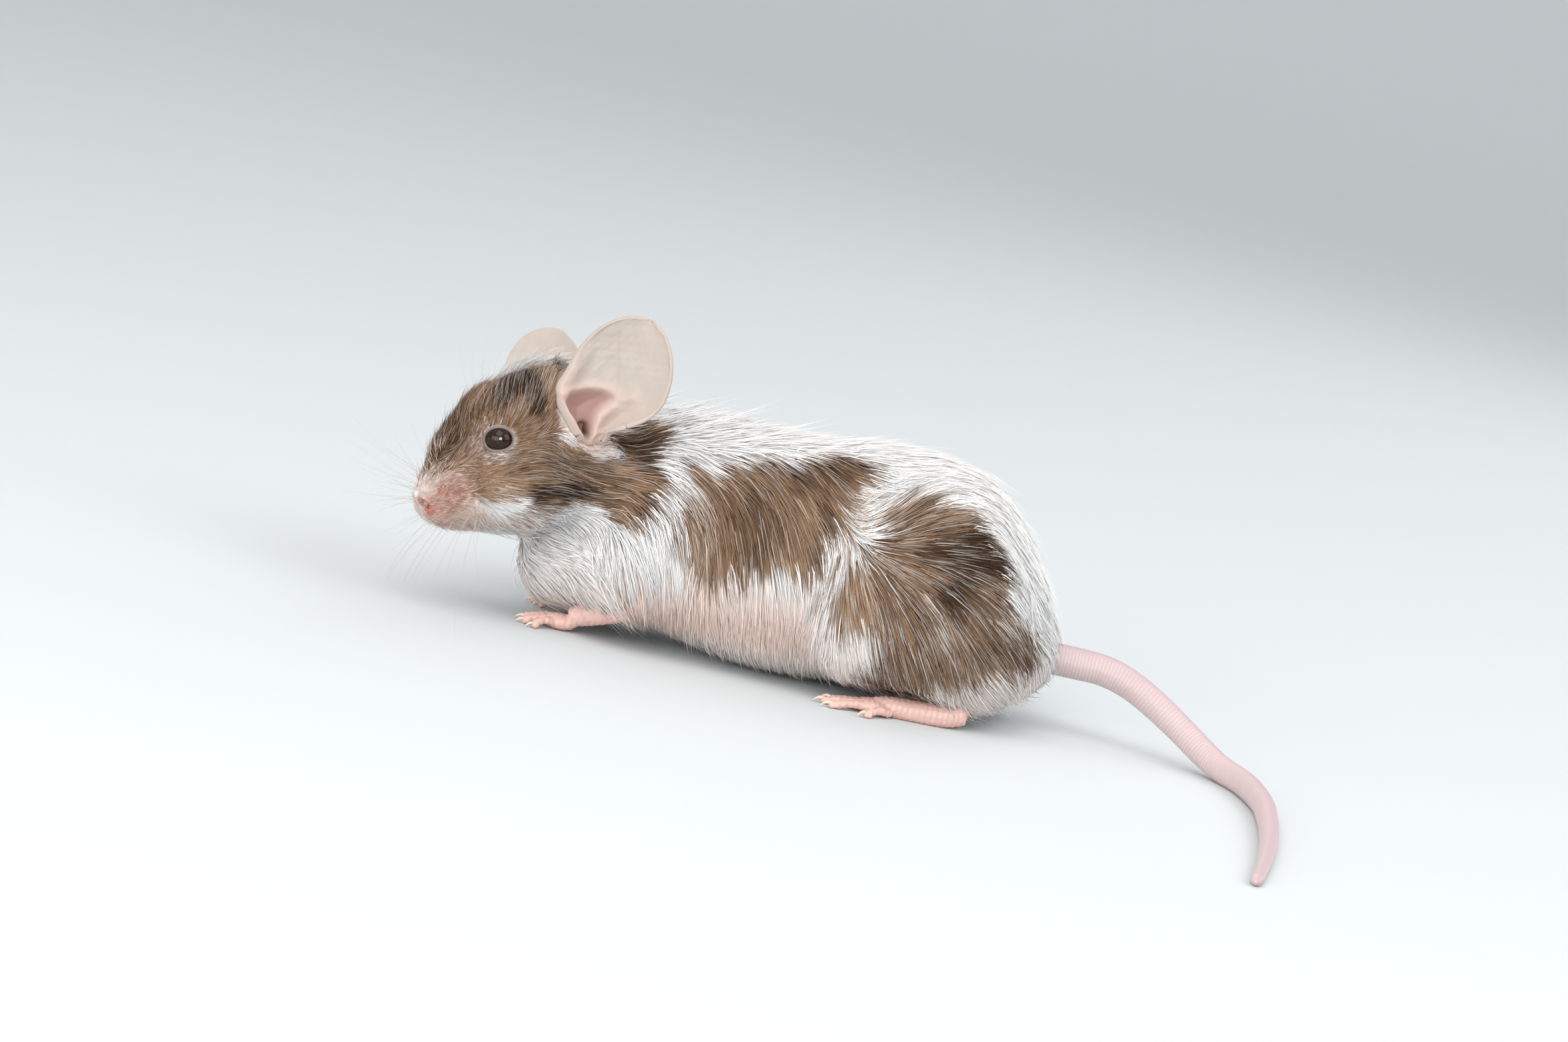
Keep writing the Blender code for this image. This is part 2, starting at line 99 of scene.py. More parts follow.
def behind_neck(points):
    """0 on the head, 1 on the trunk, and between them across the neck."""
    run = (points - NECK_MIDDLE) @ NECK_RUN
    return smooth_step((run + NECK_REACH) / (2 * NECK_REACH))[:, None]


def straightened(points):
    """The same places on a mouse that looks straight ahead."""
    share = behind_neck(points)
    return (1 - share) * unturned(points) + share * points


def in_place(points, directions):
    """Directions on the straight mouse, turned with the head at these places of the posed one."""
    share = behind_neck(points)
    return unit((1 - share) * (directions @ HEAD_TURN.T) + share * directions)


low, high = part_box("eye_left")
SHIFT = np.array((low + high) / 2) / MM - turned(EYE_PLACE)


def new_piece(name, points, quads=(), triangles=()):
    """A mesh object from corners in the mouse's millimetres."""
    mesh = bpy.data.meshes.new(name)
    quads = np.asarray(quads, np.int32).reshape(-1, 4)
    triangles = np.asarray(triangles, np.int32).reshape(-1, 3)
    loops = np.concatenate([quads.ravel(), triangles.ravel()])
    starts = np.concatenate([np.arange(len(quads)) * 4, quads.size + np.arange(len(triangles)) * 3])
    mesh.vertices.add(len(points))
    mesh.vertices.foreach_set("co", ((points + SHIFT) * MM).astype(np.float32).ravel())
    mesh.loops.add(len(loops))
    mesh.loops.foreach_set("vertex_index", loops)
    mesh.polygons.add(len(starts))
    mesh.polygons.foreach_set("loop_start", starts.astype(np.int32))
    mesh.update(calc_edges=True)
    mesh.shade_smooth()
    piece = bpy.data.objects.new(name, mesh)
    bpy.context.scene.collection.objects.link(piece)
    return piece


def corners(mesh):
    places = np.empty(len(mesh.vertices) * 3, np.float32)
    mesh.vertices.foreach_get("co", places)
    return places.reshape(-1, 3).astype(float) / MM - SHIFT


def move_corners(mesh, points):
    mesh.vertices.foreach_set("co", ((points + SHIFT) * MM).astype(np.float32).ravel())
    mesh.update()


def corner_normals(mesh):
    normals = np.empty(len(mesh.vertices) * 3, np.float32)
    mesh.vertex_normals.foreach_get("vector", normals)
    return normals.reshape(-1, 3).astype(float)


def paint_corners(mesh, name, *channels):
    """A colour attribute with one value for each channel at each corner."""
    values = np.ones((len(mesh.vertices), 4), np.float32)
    for number, channel in enumerate(channels):
        values[:, number] = channel
    layer = mesh.attributes.new(name, "FLOAT_COLOR", "POINT")
    layer.data.foreach_set("color", values.ravel())


def paint(code):
    """An sRGB hex colour as the linear colour that a shader takes."""
    parts = [int(code[i:i + 2], 16) / 255 for i in (1, 3, 5)]
    return (*[c / 12.92 if c <= 0.04045 else ((c + 0.055) / 1.055) ** 2.4 for c in parts], 1.0)


def start_material(name):
    material = bpy.data.materials.new(name)
    material.use_nodes = True
    material.node_tree.nodes.clear()
    return material, material.node_tree


def add_node(tree, kind, inputs=None, **settings):
    """A node with its settings. Its inputs are values, or the outputs that are linked to them."""
    node = tree.nodes.new(kind)
    for name, value in settings.items():
        setattr(node, name, value)
    for key, value in (inputs or {}).items():
        if isinstance(value, bpy.types.NodeSocket):
            tree.links.new(value, node.inputs[key])
        else:
            node.inputs[key].default_value = value
    return node


def put_material(piece, material):
    piece.data.materials.clear()
    piece.data.materials.append(material)


# The camera looks level with the mouse from its left, slightly from above, and leans to the right.
AIM = np.array([-17.8, -4.0, 19.5])
LOOK_DOWN = math.radians(10.0)
LEAN = math.radians(13.0)
DISTANCE = 546.1
level = np.array([1.0, 0.0, 0.0])
upright = np.array([0.0, math.sin(LOOK_DOWN), math.cos(LOOK_DOWN)])
backward = np.array([0.0, -math.cos(LOOK_DOWN), math.sin(LOOK_DOWN)])
rightward = level * math.cos(LEAN) + upright * math.sin(LEAN)
upward = upright * math.cos(LEAN) - level * math.sin(LEAN)
eye_point = (AIM + SHIFT + backward * DISTANCE) * MM
lens = bpy.data.cameras.new("portrait_lens")
lens.lens = 100.0
lens.sensor_width = 36.0
lens.clip_start = 0.01
lens.clip_end = 10.0
camera = bpy.data.objects.new("portrait_camera", lens)
bpy.context.scene.collection.objects.link(camera)
pose = Matrix.Identity(4)
for column, axis in enumerate((rightward, upward, backward)):
    for row in range(3):
        pose[row][column] = axis[row]
pose.translation = Vector(eye_point)
camera.matrix_world = pose
bpy.context.scene.camera = camera

# The floor is a round sheet of pale blue-grey card whose rim curves up, so that no edge shows behind the
# model.
FLOOR_REACH = 1.1
FLOOR_RISE = 0.9
RIM_STEPS = 8
RIM_STEP = 0.12
bpy.ops.object.select_all(action="DESELECT")
bpy.ops.mesh.primitive_circle_add(vertices=96, radius=FLOOR_REACH, fill_type="TRIFAN")
floor = bpy.context.object
floor.name = "floor"
bpy.ops.object.mode_set(mode="EDIT")
bpy.context.tool_settings.mesh_select_mode = (False, True, False)
bpy.ops.mesh.select_all(action="DESELECT")
bpy.ops.object.mode_set(mode="OBJECT")
for edge in floor.data.edges:
    ends = [floor.data.vertices[i].co.xy.length for i in edge.vertices]
    edge.select = min(ends) > 0.5 * FLOOR_REACH
bpy.ops.object.mode_set(mode="EDIT")
reach = FLOOR_REACH
for step in range(RIM_STEPS):
    angle = math.radians(90 / RIM_STEPS * (step + 0.5))
    bpy.ops.mesh.extrude_region_move(TRANSFORM_OT_translate={"value": (0, 0, math.sin(angle) * RIM_STEP)})
    wider = reach + math.cos(angle) * RIM_STEP
    bpy.ops.transform.resize(value=(wider / reach, wider / reach, 1), center_override=(0, 0, 0))
    reach = wider
bpy.ops.mesh.extrude_region_move(TRANSFORM_OT_translate={"value": (0, 0, FLOOR_RISE)})
bpy.ops.mesh.select_all(action="SELECT")
bpy.ops.mesh.normals_make_consistent(inside=True)
bpy.ops.object.mode_set(mode="OBJECT")
floor.data.shade_smooth()
card, tree = start_material("matt card, pale blue-grey")
where = add_node(tree, "ShaderNodeTexCoord")
fibre = add_node(tree, "ShaderNodeTexNoise", {
    "Vector": where.outputs["Object"], "Scale": 60.0, "Detail": 3.0})
# The card is painted lighter towards its rim and wall, as painted light that evens out the lamps' falloff.
outwards = add_node(tree, "ShaderNodeVectorMath", {0: where.outputs["Object"]}, operation="LENGTH")
painted_rim_light = add_node(tree, "ShaderNodeMapRange", {
    0: outwards.outputs["Value"], 1: 0.3, 2: 1.25, 3: 0.0, 4: 0.94})
speck_and_painted_light = add_node(tree, "ShaderNodeMath", {0: fibre.outputs["Fac"], 1: 0.06, 2: painted_rim_light.outputs[0]},
                 operation="MULTIPLY_ADD")
tone = add_node(tree, "ShaderNodeValToRGB", {0: speck_and_painted_light.outputs[0]})
tone.color_ramp.elements[0].color = paint("#D0D6D9")
tone.color_ramp.elements[1].color = paint("#DDE3E7")
surface = add_node(tree, "ShaderNodeBsdfPrincipled", {"Base Color": tone.outputs[0], "Roughness": 0.9})
add_node(tree, "ShaderNodeOutputMaterial", {"Surface": surface.outputs[0]})
put_material(floor, card)
floor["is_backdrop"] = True

# The light is a broad soft window high in front, weaker ones on every other side, and a pale room.
room = bpy.data.worlds.new("pale_room")
room.use_nodes = True
room.node_tree.nodes["Background"].inputs[0].default_value = paint("#F3EFEC")
room.node_tree.nodes["Background"].inputs[1].default_value = 0.96
bpy.context.scene.world = room
bpy.context.scene.view_settings.view_transform = "Standard"
LAMPS = {
    "high_window": ((-120, -260, 520), 0.42, 1.2, "#FFFBF6"),
    "near_window": ((-200, -520, 150), 0.36, 1.3, "#FFFCFA"),
    "front_window": ((-400, -350, 70), 0.37, 1.1, "#FFFBF8"),
    "rear_window": ((430, -160, 360), 0.4, 1.2, "#FFFFFF"),
    "far_window": ((300, 330, 360), 0.5, 0.8, "#FFFFFF"),
    "catch_light": ((66, -522, 218), 0.22, 3.6, "#FFFFFF"),
}
for name, (place, size, power, colour) in LAMPS.items():
    lamp = bpy.data.lights.new(name, "AREA")
    lamp.size = size
    lamp.energy = power
    lamp.color = paint(colour)[:3]
    stand = bpy.data.objects.new(name, lamp)
    stand.visible_diffuse = name != "catch_light"  # it only gives the wet eyes their highlight
    stand.location = Vector(place) * MM
    stand.rotation_mode = "QUATERNION"
    stand.rotation_quaternion = (Vector((0, 0, 0.02)) - stand.location).to_track_quat("-Z", "Y")
    bpy.context.scene.collection.objects.link(stand)

# The skin
# One skin covers the head, neck, trunk and upper legs. It lies inside the clipped masses of flesh and fur
# by the depth of the coat, which depends on how long the hair is there and how far it stands off.
FLESH = ["head", "neck", "trunk", "foreleg_left", "foreleg_right", "hindleg_left", "hindleg_right"]
GAP_FILL = 0.2
SKIN_CELL = 0.6

# How the hair lies on the left side, and in mirror on the right. Each stroke has its place, as
# millimetres along the mouse and degrees round it from the middle of its back. Then come the way the hair
# runs there, in degrees that are 0 straight back and 90 straight down the side, its length, and the angle
# at which it stands off the skin.
COMBING = np.array((
    # the middle of the nose, the brow, the crown and the nape
    (-66, 0, 0, 1.5, 42), (-65.5, 0, 0, 1.7, 40), (-64.5, 0, 0, 2, 36), (-58.5, 0, 0, 2.3, 32),
    (-55.5, 0, 0, 2.3, 36),
    (-52, 0, 0, 2.2, 32), (-48.5, 0, 0, 2.3, 28), (-44.5, 0, 0, 4.2, 30), (-50, 18, -20, 2.3, 30),
    # the nose, the brow and the crown
    (-66, 54, -50, 1.5, 38), (-65, 110, -80, 1, 28), (-65, 18, -30, 2, 24), (-62.5, 12, -35, 2.4, 25),
    (-61, 16, -30, 2.4, 26), (-59, 20, -55, 2.4, 28), (-57, 17, -55, 2.6, 30), (-55.5, 21, -65, 2.6, 32),
    (-54, 16, -65, 2.4, 30), (-51.5, 21, -70, 2.4, 28), (-48.5, 5, -170, 2.4, 25),
    (-58.5, 38, -65, 1.6, 14), (-60.5, 35, -60, 1.2, 12), (-60.5, 51, -55, 1, 12), (-56, 40, -60, 2.2, 20),
    (-54, 38, -70, 2.6, 22), (-52.5, 51, -55, 2.2, 20), (-52, 37, -80, 2.4, 22),
    # the cheek, the collar and the nape
    (-55, 54, -35, 1.8, 14), (-55, 64, -15, 1.8, 12), (-52, 70, 15, 2.6, 14), (-58, 78, 0, 1.3, 12),
    (-59.5, 80, 5, 1.4, 14), (-57, 86, -25, 2, 14), (-55, 96, -10, 3, 15), (-50.5, 111, -10, 4.2, 17),
    (-52.5, 113, -15, 3.6, 16), (-46, 92, -5, 4.8, 16), (-50, 89, 5, 3.6, 14), (-41.5, 75, 0, 5.5, 16),
    (-37, 66, 25, 6.5, 18), (-34, 71, 50, 6.5, 20), (-43, 107, -10, 5.5, 18), (-39, 96, 15, 6.5, 20),
    (-45, 129, -5, 4.8, 18), (-48.5, 126, 25, 4.5, 18), (-36, 90, 40, 6.5, 20), (-46, 70, 0, 1.6, 8),
    (-49, 67, 40, 1.2, 8), (-43.5, 69, 5, 2.6, 12), (-40.5, 40, -15, 5, 18), (-37, 35, -5, 5.5, 20),
    (-38, 50, 15, 6.5, 20), (-41, 58, 5, 5, 18),
    # the whisker pad, the jaw, the throat and the breast
    (-63, 84, -35, 1.3, 22), (-64.5, 37, -25, 1.4, 18), (-62.5, 46, -55, 1.8, 18),
    (-61.5, 85, -30, 1.5, 22), (-62, 129, -5, 1.1, 24), (-64, 137, 0, 0.9, 26), (-59, 113, -25, 1.5, 15),
    (-59, 156, 20, 1.4, 24), (-57, 145, 10, 1.5, 20), (-57, 120, 0, 2.2, 18), (-56.5, 105, -5, 2.6, 18),
    (-54, 124, 15, 2.6, 18), (-51.5, 136, 50, 3.4, 18), (-50, 165, 0, 3.8, 18), (-47.5, 160, 5, 4.2, 20),
    (-45, 178, 0, 4.2, 18),
    (-44, 150, 15, 4.8, 20), (-42, 175, 0, 4.4, 18), (-41, 135, 30, 5.6, 20), (-38.5, 116, 60, 6.2, 19),
    (-34, 105, 65, 6.2, 16),
    # the back
    (-34.5, 15, -15, 5.5, 26), (-32, 0, 0, 6, 28), (-33.5, 35, 35, 5.5, 20), (-30, 53, 55, 6, 14),
    (-35.5, 27, -10, 6, 26), (-31, 6, -15, 6, 27), (-25.5, 10, -10, 6, 22), (-21, 1, 0, 6, 18),
    (-14, 5, -10, 6, 14), (-29.5, 21, -15, 6, 20), (-32, 44, 35, 6, 16), (-27, 37, 40, 6, 15),
    (-19.5, 15, -5, 6, 12), (-10.5, 10, 5, 6, 12), (-5, 5, -10, 6, 12), (-2.5, 18, -10, 5.5, 12),
    # the flank and the belly
    (-20.5, 35, 52, 6, 12), (-17, 29, 47, 6, 12), (-13.5, 26, 42, 6, 12), (-9, 24, 37, 6, 12),
    (-27, 57, 72, 6.5, 12), (-21.5, 53, 67, 6.5, 12), (-16, 46, 62, 6, 12), (-12, 44, 57, 5.5, 12),
    (-28, 86, 87, 6.5, 12), (-21.5, 79, 82, 6.5, 12), (-16, 73, 77, 6, 12), (-12.5, 68, 87, 5.5, 12),
    (-32, 100, 87, 6.5, 12), (-35.5, 84, 67, 6.5, 14), (-32, 73, 82, 6.5, 14), (-27.5, 118, 87, 6, 14),
    (-20, 112, 87, 6, 14), (-13, 109, 87, 5.5, 14), (-32.5, 122, 87, 5.5, 14), (-10, 62, 100, 5.5, 14),
    (-11, 83, 98, 5.5, 14), (-11.5, 95, 97, 5.5, 14), (-10.5, 115, 92, 5, 14),
    # the haunch, the knee and the rump
    (-9, 47, -60, 4.6, 13), (-7.5, 41, -50, 5, 12), (-4.5, 34, -40, 5.4, 12), (-5, 49, -50, 5, 14),
    (-4, 39, -50, 5.5, 12), (-2, 51, -45, 5, 12), (-0.5, 39, -35, 5.5, 10), (1.5, 33, -20, 5.5, 10),
    (4.5, 34, 5, 5.5, 10), (1.5, 49, -45, 5, 10), (4, 44, -35, 5, 10), (6.5, 40, 10, 5, 10),
    (9, 45, 25, 5.5, 10), (-5.5, 61, -10, 4.4, 14), (-1.5, 60, -5, 5, 12), (2, 60, -10, 5, 10),
    (5.5, 56, -25, 5, 10), (8.5, 54, -5, 5, 10), (11, 56, 20, 5.5, 10), (-5.5, 66, 45, 4.6, 15),
    (-3.5, 67, 20, 5, 12), (-0.5, 68, 15, 5, 11), (2.5, 68, 20, 5, 10), (6, 66, 20, 5.2, 10),
    (9, 68, 30, 5.5, 10), (-7, 76, 75, 5.5, 12), (-4, 77, 55, 5.5, 11), (0, 77, 45, 5.5, 11),
    (3.5, 77, 45, 5.5, 11), (7, 77, 45, 5.5, 11), (-6, 92, 70, 5.5, 12), (-2.5, 90, 60, 5.5, 12),
    (2.5, 88, 55, 5.5, 12), (8, 27, 30, 6, 12), (4, 24, -10, 6, 11), (12, 35, 5, 6, 12), (15, 38, 0, 6, 12),
    (18.5, 80, 0, 5.5, 14), (19.5, 126, 85, 3.5, 14), (11, -10, 0, 6, 13), (7, -2, 5, 6, 12),
    (10, 77, 35, 5.5, 12), (2.5, 101, 70, 5.5, 14), (6, 99, 70, 5.5, 14), (11.5, 97, 50, 5.5, 14),
    (15, 98, 20, 5, 16), (-2.5, 118, 60, 4.2, 16), (-7, 111, 75, 4.2, 14), (-8.5, 100, 75, 5, 12),
    (-2, 92, 70, 5.5, 12), (14, 111, 50, 4.4, 18),
))
BACKWARD_LEAN = 0.12  # where the two sides cancel, on the belly, the hair runs towards the tail


def combed(points):
    """The run, length and lift of the hair at places of the posed mouse."""
    strokes = np.vstack([COMBING, COMBING * (1, -1, -1, 1, 1)])
    heading = np.radians(strokes[:, 2])
    values = np.column_stack([np.cos(heading), np.sin(heading), strokes[:, 3:]])
    found = np.empty((len(points), 4))
    along, around = round_body(points)
    for start in range(0, len(points), 8000):
        rows = slice(start, start + 8000)
        away = (along[rows, None] - strokes[:, 0]) ** 2 + (around[rows, None] - ROUND * strokes[:, 1]) ** 2
        weight = (away + 1.2) ** -2.2
        found[rows] = weight @ values / weight.sum(axis=1, keepdims=True)
    angle = np.radians(around / ROUND)
    down = -found[:, 1]
    straight = np.stack([found[:, 0] + BACKWARD_LEAN, down * np.cos(angle), down * np.sin(angle)], axis=1)
    return in_place(points, straight), found[:, 2], found[:, 3]


# The markings: irregular brown patches on white, with dark and tan parts in them, and the places where
# the skin shows pink. Each outline is on the left side: millimetres along the mouse, degrees round it
# from its back.
MARKINGS = {
    "mask": ((-65.5, -16), (-48.5, -16), (-49.5, 19), (-51, 37), (-51.5, 52), (-50, 68), (-47, 77),
        (-44.5, 79), (-42, 68), (-41, 60), (-44, 60), (-43, 51), (-37.5, 22), (-36, 25), (-35, 33),
        (-35.5, 38), (-33.5, 51), (-33, 59), (-34, 78), (-35.5, 84), (-35.5, 93), (-41.5, 107), (-44, 120),
        (-54, 122), (-54, 114), (-57, 98), (-57.5, 100), (-59, 126), (-60, 125), (-61.5, 80), (-63.5, 65),
        (-65, 67)),
    "eye_pale": ((-61, 34), (-60, 34), (-58, 39), (-56, 48), (-55.5, 62), (-56, 76), (-57.5, 82),
        (-60.5, 64)),
    "cheek_tan": ((-57.5, 36), (-52, 51), (-49.5, 81), (-49.5, 99), (-54, 95), (-57, 88), (-57, 75),
        (-55, 66)),
    "muzzle_tan": ((-65.5, 38), (-64.5, 31), (-60.5, 62), (-58.5, 84), (-59, 124), (-60, 125), (-60, 99),
        (-61.5, 76), (-63.5, 65), (-64.5, 75)),
    "ear_foot_tan": ((-53.5, 14), (-49, 5), (-51, 33), (-51.5, 49), (-53, 50), (-53.5, 36)),
    "crown_dark": ((-59, 18), (-58, -6), (-55.5, -6), (-53, 20), (-53.5, 39), (-53, 47), (-54.5, 43),
        (-55, 30), (-56, 24), (-57, 31), (-58.5, 28)),
    "bridge_dark": ((-65, 15), (-64, -6), (-62.5, -6), (-61, 26), (-63, 51), (-64.5, 37)),
    "cheek_dark": ((-54.5, 110), (-53.5, 104), (-47, 102), (-42.5, 98), (-45, 116), (-52, 117), (-54, 115)),
    "jaw_streak": ((-53, 117), (-44, 120), (-43.5, 121), (-47, 123), (-51.5, 121)),
    "ear_back_dark": ((-43.5, 57), (-42, 46), (-38.5, 35), (-35.5, 31), (-35.5, 35), (-38.5, 41),
        (-41.5, 53)),
    "collar_dark": ((-42, 58), (-40, 48), (-37, 43), (-34.5, 46), (-33.5, 52), (-34, 58), (-39, 58),
        (-41, 62)),
    "collar_streak": ((-49.5, 99), (-44.5, 90), (-40, 70), (-36, 61), (-33.5, 67), (-33.5, 76),
        (-38.5, 81), (-47, 105)),
    "pad_pink": ((-65, 113), (-64, 86), (-62.5, 73), (-61.5, 78), (-60, 106), (-59.5, 132), (-60.5, 166),
        (-62.5, 168), (-64.5, 157), (-65.5, 145)),
    "jaw_pink": ((-60.5, 148), (-59, 139), (-54, 125), (-51.5, 128), (-49.5, 178), (-53, 141), (-55, 154),
        (-57, 179), (-59.5, 168)),
    "collar_tan": ((-43.5, 77), (-41, 64), (-37.5, 57), (-35.5, 61), (-36, 68), (-39.5, 71), (-42.5, 80)),
    "collar_frost": ((-54.5, 118), (-50, 115), (-44, 119), (-40, 95), (-35.5, 84), (-33.5, 89),
        (-39.5, 108), (-44, 130), (-49.5, 124), (-53, 129)),
    "throat_tan": ((-56.5, 116), (-47.5, 125), (-46, 154), (-49, 180), (-54, 165), (-56.5, 140)),
    "flank_frost": ((-31, 48), (-28, 48), (-26.5, 60), (-25, 95), (-25, 107), (-28.5, 112), (-30, 91)),
    "ear_rose": ((-45.5, 60), (-44.5, 53), (-42.5, 50), (-42.5, 57), (-44.5, 64)),
    "ear_bare": ((-51, 52), (-50, 66), (-47.5, 65), (-46, 61), (-42, 61), (-42, 70), (-45, 79),
        (-48.5, 76), (-50.5, 67)),
    "flank": ((-33, 43), (-31, 39), (-28, 42), (-27, 37), (-17.5, 25), (-13, 17), (-10, 17), (-7, 25),
        (-7.5, 31), (-9.5, 42), (-11.5, 64), (-11.5, 73), (-12.5, 85), (-15.5, 82), (-19.5, 88),
        (-22.5, 98), (-26, 105), (-28, 103), (-30, 90), (-31.5, 75), (-31, 62), (-30, 56)),
    "flank_back_dark": ((-22, 30), (-19, 26), (-15.5, 31), (-13, 16), (-10, 17), (-7, 24), (-8, 30),
        (-11, 28), (-15, 40)),
    "flank_core_dark": ((-26, 54), (-23.5, 49), (-20.5, 50), (-18, 61), (-19, 73), (-20.5, 81),
        (-22.5, 81)),
    "flank_edge_dark": ((-12.5, 45), (-10.5, 50), (-11.5, 64), (-12.5, 83), (-13.5, 74)),
    "flank_tan": ((-17.5, 72), (-13.5, 68), (-12.5, 82), (-15, 87), (-17.5, 84)),
    "haunch": ((-7, 46), (-5.5, 37), (-3.5, 31), (5, 31), (10, 45), (12, 58), (12.5, 68), (12, 75),
        (15.5, 79), (18, 108), (17, 121), (14, 114), (5.5, 119), (0.5, 140), (-2.5, 140), (-5.5, 121),
        (-5, 113), (-2, 106), (-3, 103), (-7.5, 105), (-9, 103), (-10.5, 92), (-10, 80), (-8.5, 70),
        (-6.5, 63), (-5.5, 52)),
    "haunch_dark": ((-0.5, 60), (6, 39), (11, 53), (12, 62), (9, 64), (7, 69), (5.5, 80), (5.5, 87),
        (3.5, 84), (2.5, 75), (3, 65), (0, 63)),
    "ham_dark": ((8, 85), (10, 81), (13.5, 82), (17, 100), (16.5, 105), (13.5, 97), (10.5, 94)),
    "knee_dark": ((-5.5, 117), (-4, 111), (-1, 110), (1.5, 112), (1, 121), (-1.5, 141)),
    "haunch_tan": ((-11, 81), (-8.5, 71), (-5, 76), (-4, 88), (-5, 102), (-9, 106), (-10.5, 95)),
    "croup_taupe": ((-3, 10), (1, -10), (8, -9), (4.5, 15), (0.5, 15)),
    "belly_pink": ((-35, 124), (-28, 108), (-19, 94), (-13.5, 92), (-11, 103), (-11.5, 123), (-19, 126),
        (-26.5, 139), (-34.5, 145)),
    "cheek_back_tan": ((-60.5, 118), (-60, 96), (-58.5, 84), (-55.5, 92), (-54, 104), (-55, 114),
        (-57.5, 122), (-59.5, 128)),
    "right_ear_white": ((-58, 3), (-54, 2), (-49, 2), (-45.5, 7), (-45, 24), (-46, 46),
        (-50, 50), (-55, 40), (-58, 22)),
    # The fold between flank and haunch has some tan hair and is painted darker as painted shade of the fold.
    "thigh_fold": ((-10.5, 38), (-7, 35), (-6, 47), (-7.5, 60), (-9.5, 76), (-10.5, 98),
        (-13, 98), (-12, 76)),
    "collar_low": ((-54.5, 118), (-50, 115), (-44, 118), (-43, 124), (-46, 132), (-52, 131)),
    # The cheek is painted darker than its brown, as painted shade.
    "cheek_brown": ((-57, 84), (-53, 78), (-49.5, 80), (-49, 97), (-53, 98), (-56.5, 93)),
}
# The right side carries the same kind of patches in other places: how far each lies along and round from its
# fellow on the left, and how large it is beside it.
OTHER_SIDE = {
    "flank": (4.5, 6, 0.9), "flank_back_dark": (4.0, 8, 1.1), "flank_core_dark": (6.0, 4, 1.2),
    "flank_edge_dark": (-6.0, 10, 1.0), "flank_tan": (-5.0, -6, 1.1), "haunch": (-1.5, 12, 0.86),
    "haunch_dark": (1.0, 14, 0.8), "haunch_tan": (4.0, -8, 1.0), "ham_dark": (-4.0, 6, 0.8),
    "croup_taupe": (2.0, 20, 1.4), "collar_dark": (-2.0, 14, 1.0), "collar_streak": (2.0, -6, 0.9),
}
RIGHT_ONLY = {"right_ear_white"}
# What each patch does: how much brown, dark, tan, and how soft its edge is in millimetres
INK = {
    "mask": (1.0, 0, 0, 1.3), "pad_pink": (0.5, 0, 0.9, 1.8), "jaw_pink": (0.45, 0, 1.0, 1.6),
    "eye_pale": (-0.42, 0, 0.1, 1.8),
    # thigh fold: tan hair mixed in, and painted shade of the fold.
    "cheek_tan": (0.95, 0, 0.05, 3.0), "ear_bare": (0.4, 0, 0.9, 2.0), "thigh_fold": (0.48, 0, 0.7, 2.6),
    # cheek: painted shade that darkens its brown.
    "cheek_brown": (0.9, 0.35, 0, 2.6),
    "muzzle_tan": (0.95, 0, 0.8, 2.4), "ear_foot_tan": (0.9, 0, 0.6, 2.0),
    "cheek_back_tan": (0.75, 0, 0.6, 2.0),
    "right_ear_white": (-1.0, 0, 0, 1.6), "crown_dark": (0, 1.2, 0, 1.2),
    "bridge_dark": (0, 0.85, 0, 2.0), "cheek_dark": (0.9, 1.3, 0, 1.0), "jaw_streak": (0.5, 0.6, 0, 1.4),
    "ear_back_dark": (0, 0.9, 0, 1.4), "collar_dark": (0, 0.9, 0, 1.8), "collar_streak": (0, 0.3, 0, 2.4),
    "collar_tan": (0.4, 0, 1.0, 4.0), "collar_frost": (-0.36, 0, 0.4, 2.6),
    "throat_tan": (0.42, 0, 1.0, 2.6), "collar_low": (0.55, 0.1, 0.35, 2.4),
    "flank": (0.94, 0, 0, 4.7), "flank_back_dark": (0, 0.6, 0, 1.8), "flank_core_dark": (0, 0.5, 0, 3.0),
    "flank_edge_dark": (0, 0.45, 0, 2.0), "flank_tan": (0.55, 0, 0.7, 2.4),
    "flank_frost": (-0.22, 0, 0.3, 2.6),
    "haunch": (0.74, 0, 0, 4.0), "haunch_dark": (0.8, 1.2, 0, 2.2), "ham_dark": (0.3, 0.25, 0, 2.4),
    "knee_dark": (0.3, 0.5, 0, 2.4), "haunch_tan": (0.6, 0, 0.65, 2.5), "croup_taupe": (0.25, 0, 0, 2.0),
}
ROUND = 0.21  # millimetres for each degree round the body
AXIS_RUN = (-67, -60, -50, -44, -34, -20, 20)
AXIS_HEIGHT = (14, 17.5, 20, 20, 15, 13, 13)


def round_body(points):
    """Millimetres along the mouse, and round it from the middle of its back, the left being positive."""
    places = straightened(points)
    height = places[:, 2] - np.interp(places[:, 0], AXIS_RUN, AXIS_HEIGHT)
    return places[:, 0], np.degrees(np.arctan2(-places[:, 1], height)) * ROUND


def depth_inside(along, around, outline):
    """How far places lie inside a closed outline, in millimetres, and less than nothing outside it."""
    depth = np.full(len(along), -9.0)
    first = np.array(outline, float) * (1, ROUND)
    near = np.flatnonzero((along > first[:, 0].min() - 4) & (along < first[:, 0].max() + 4)
                          & (around > first[:, 1].min() - 4) & (around < first[:, 1].max() + 4))
    if len(near) == 0:
        return depth
    span = np.roll(first, -1, axis=0) - first
    x = along[near, None] - first[:, 0]
    y = around[near, None] - first[:, 1]
    share = np.clip((x * span[:, 0] + y * span[:, 1]) / (span ** 2).sum(axis=1), 0, 1)
    away = np.hypot(x - span[:, 0] * share, y - span[:, 1] * share).min(axis=1)
    level_with = (y < 0) != (y - span[:, 1] < 0)
    rise = np.where(np.abs(span[:, 1]) < 1e-9, 1e-9, span[:, 1])
    inside = (level_with & (x < span[:, 0] * y / rise)).sum(axis=1) % 2 == 1
    depth[near] = np.where(inside, away, -away)
    return depth


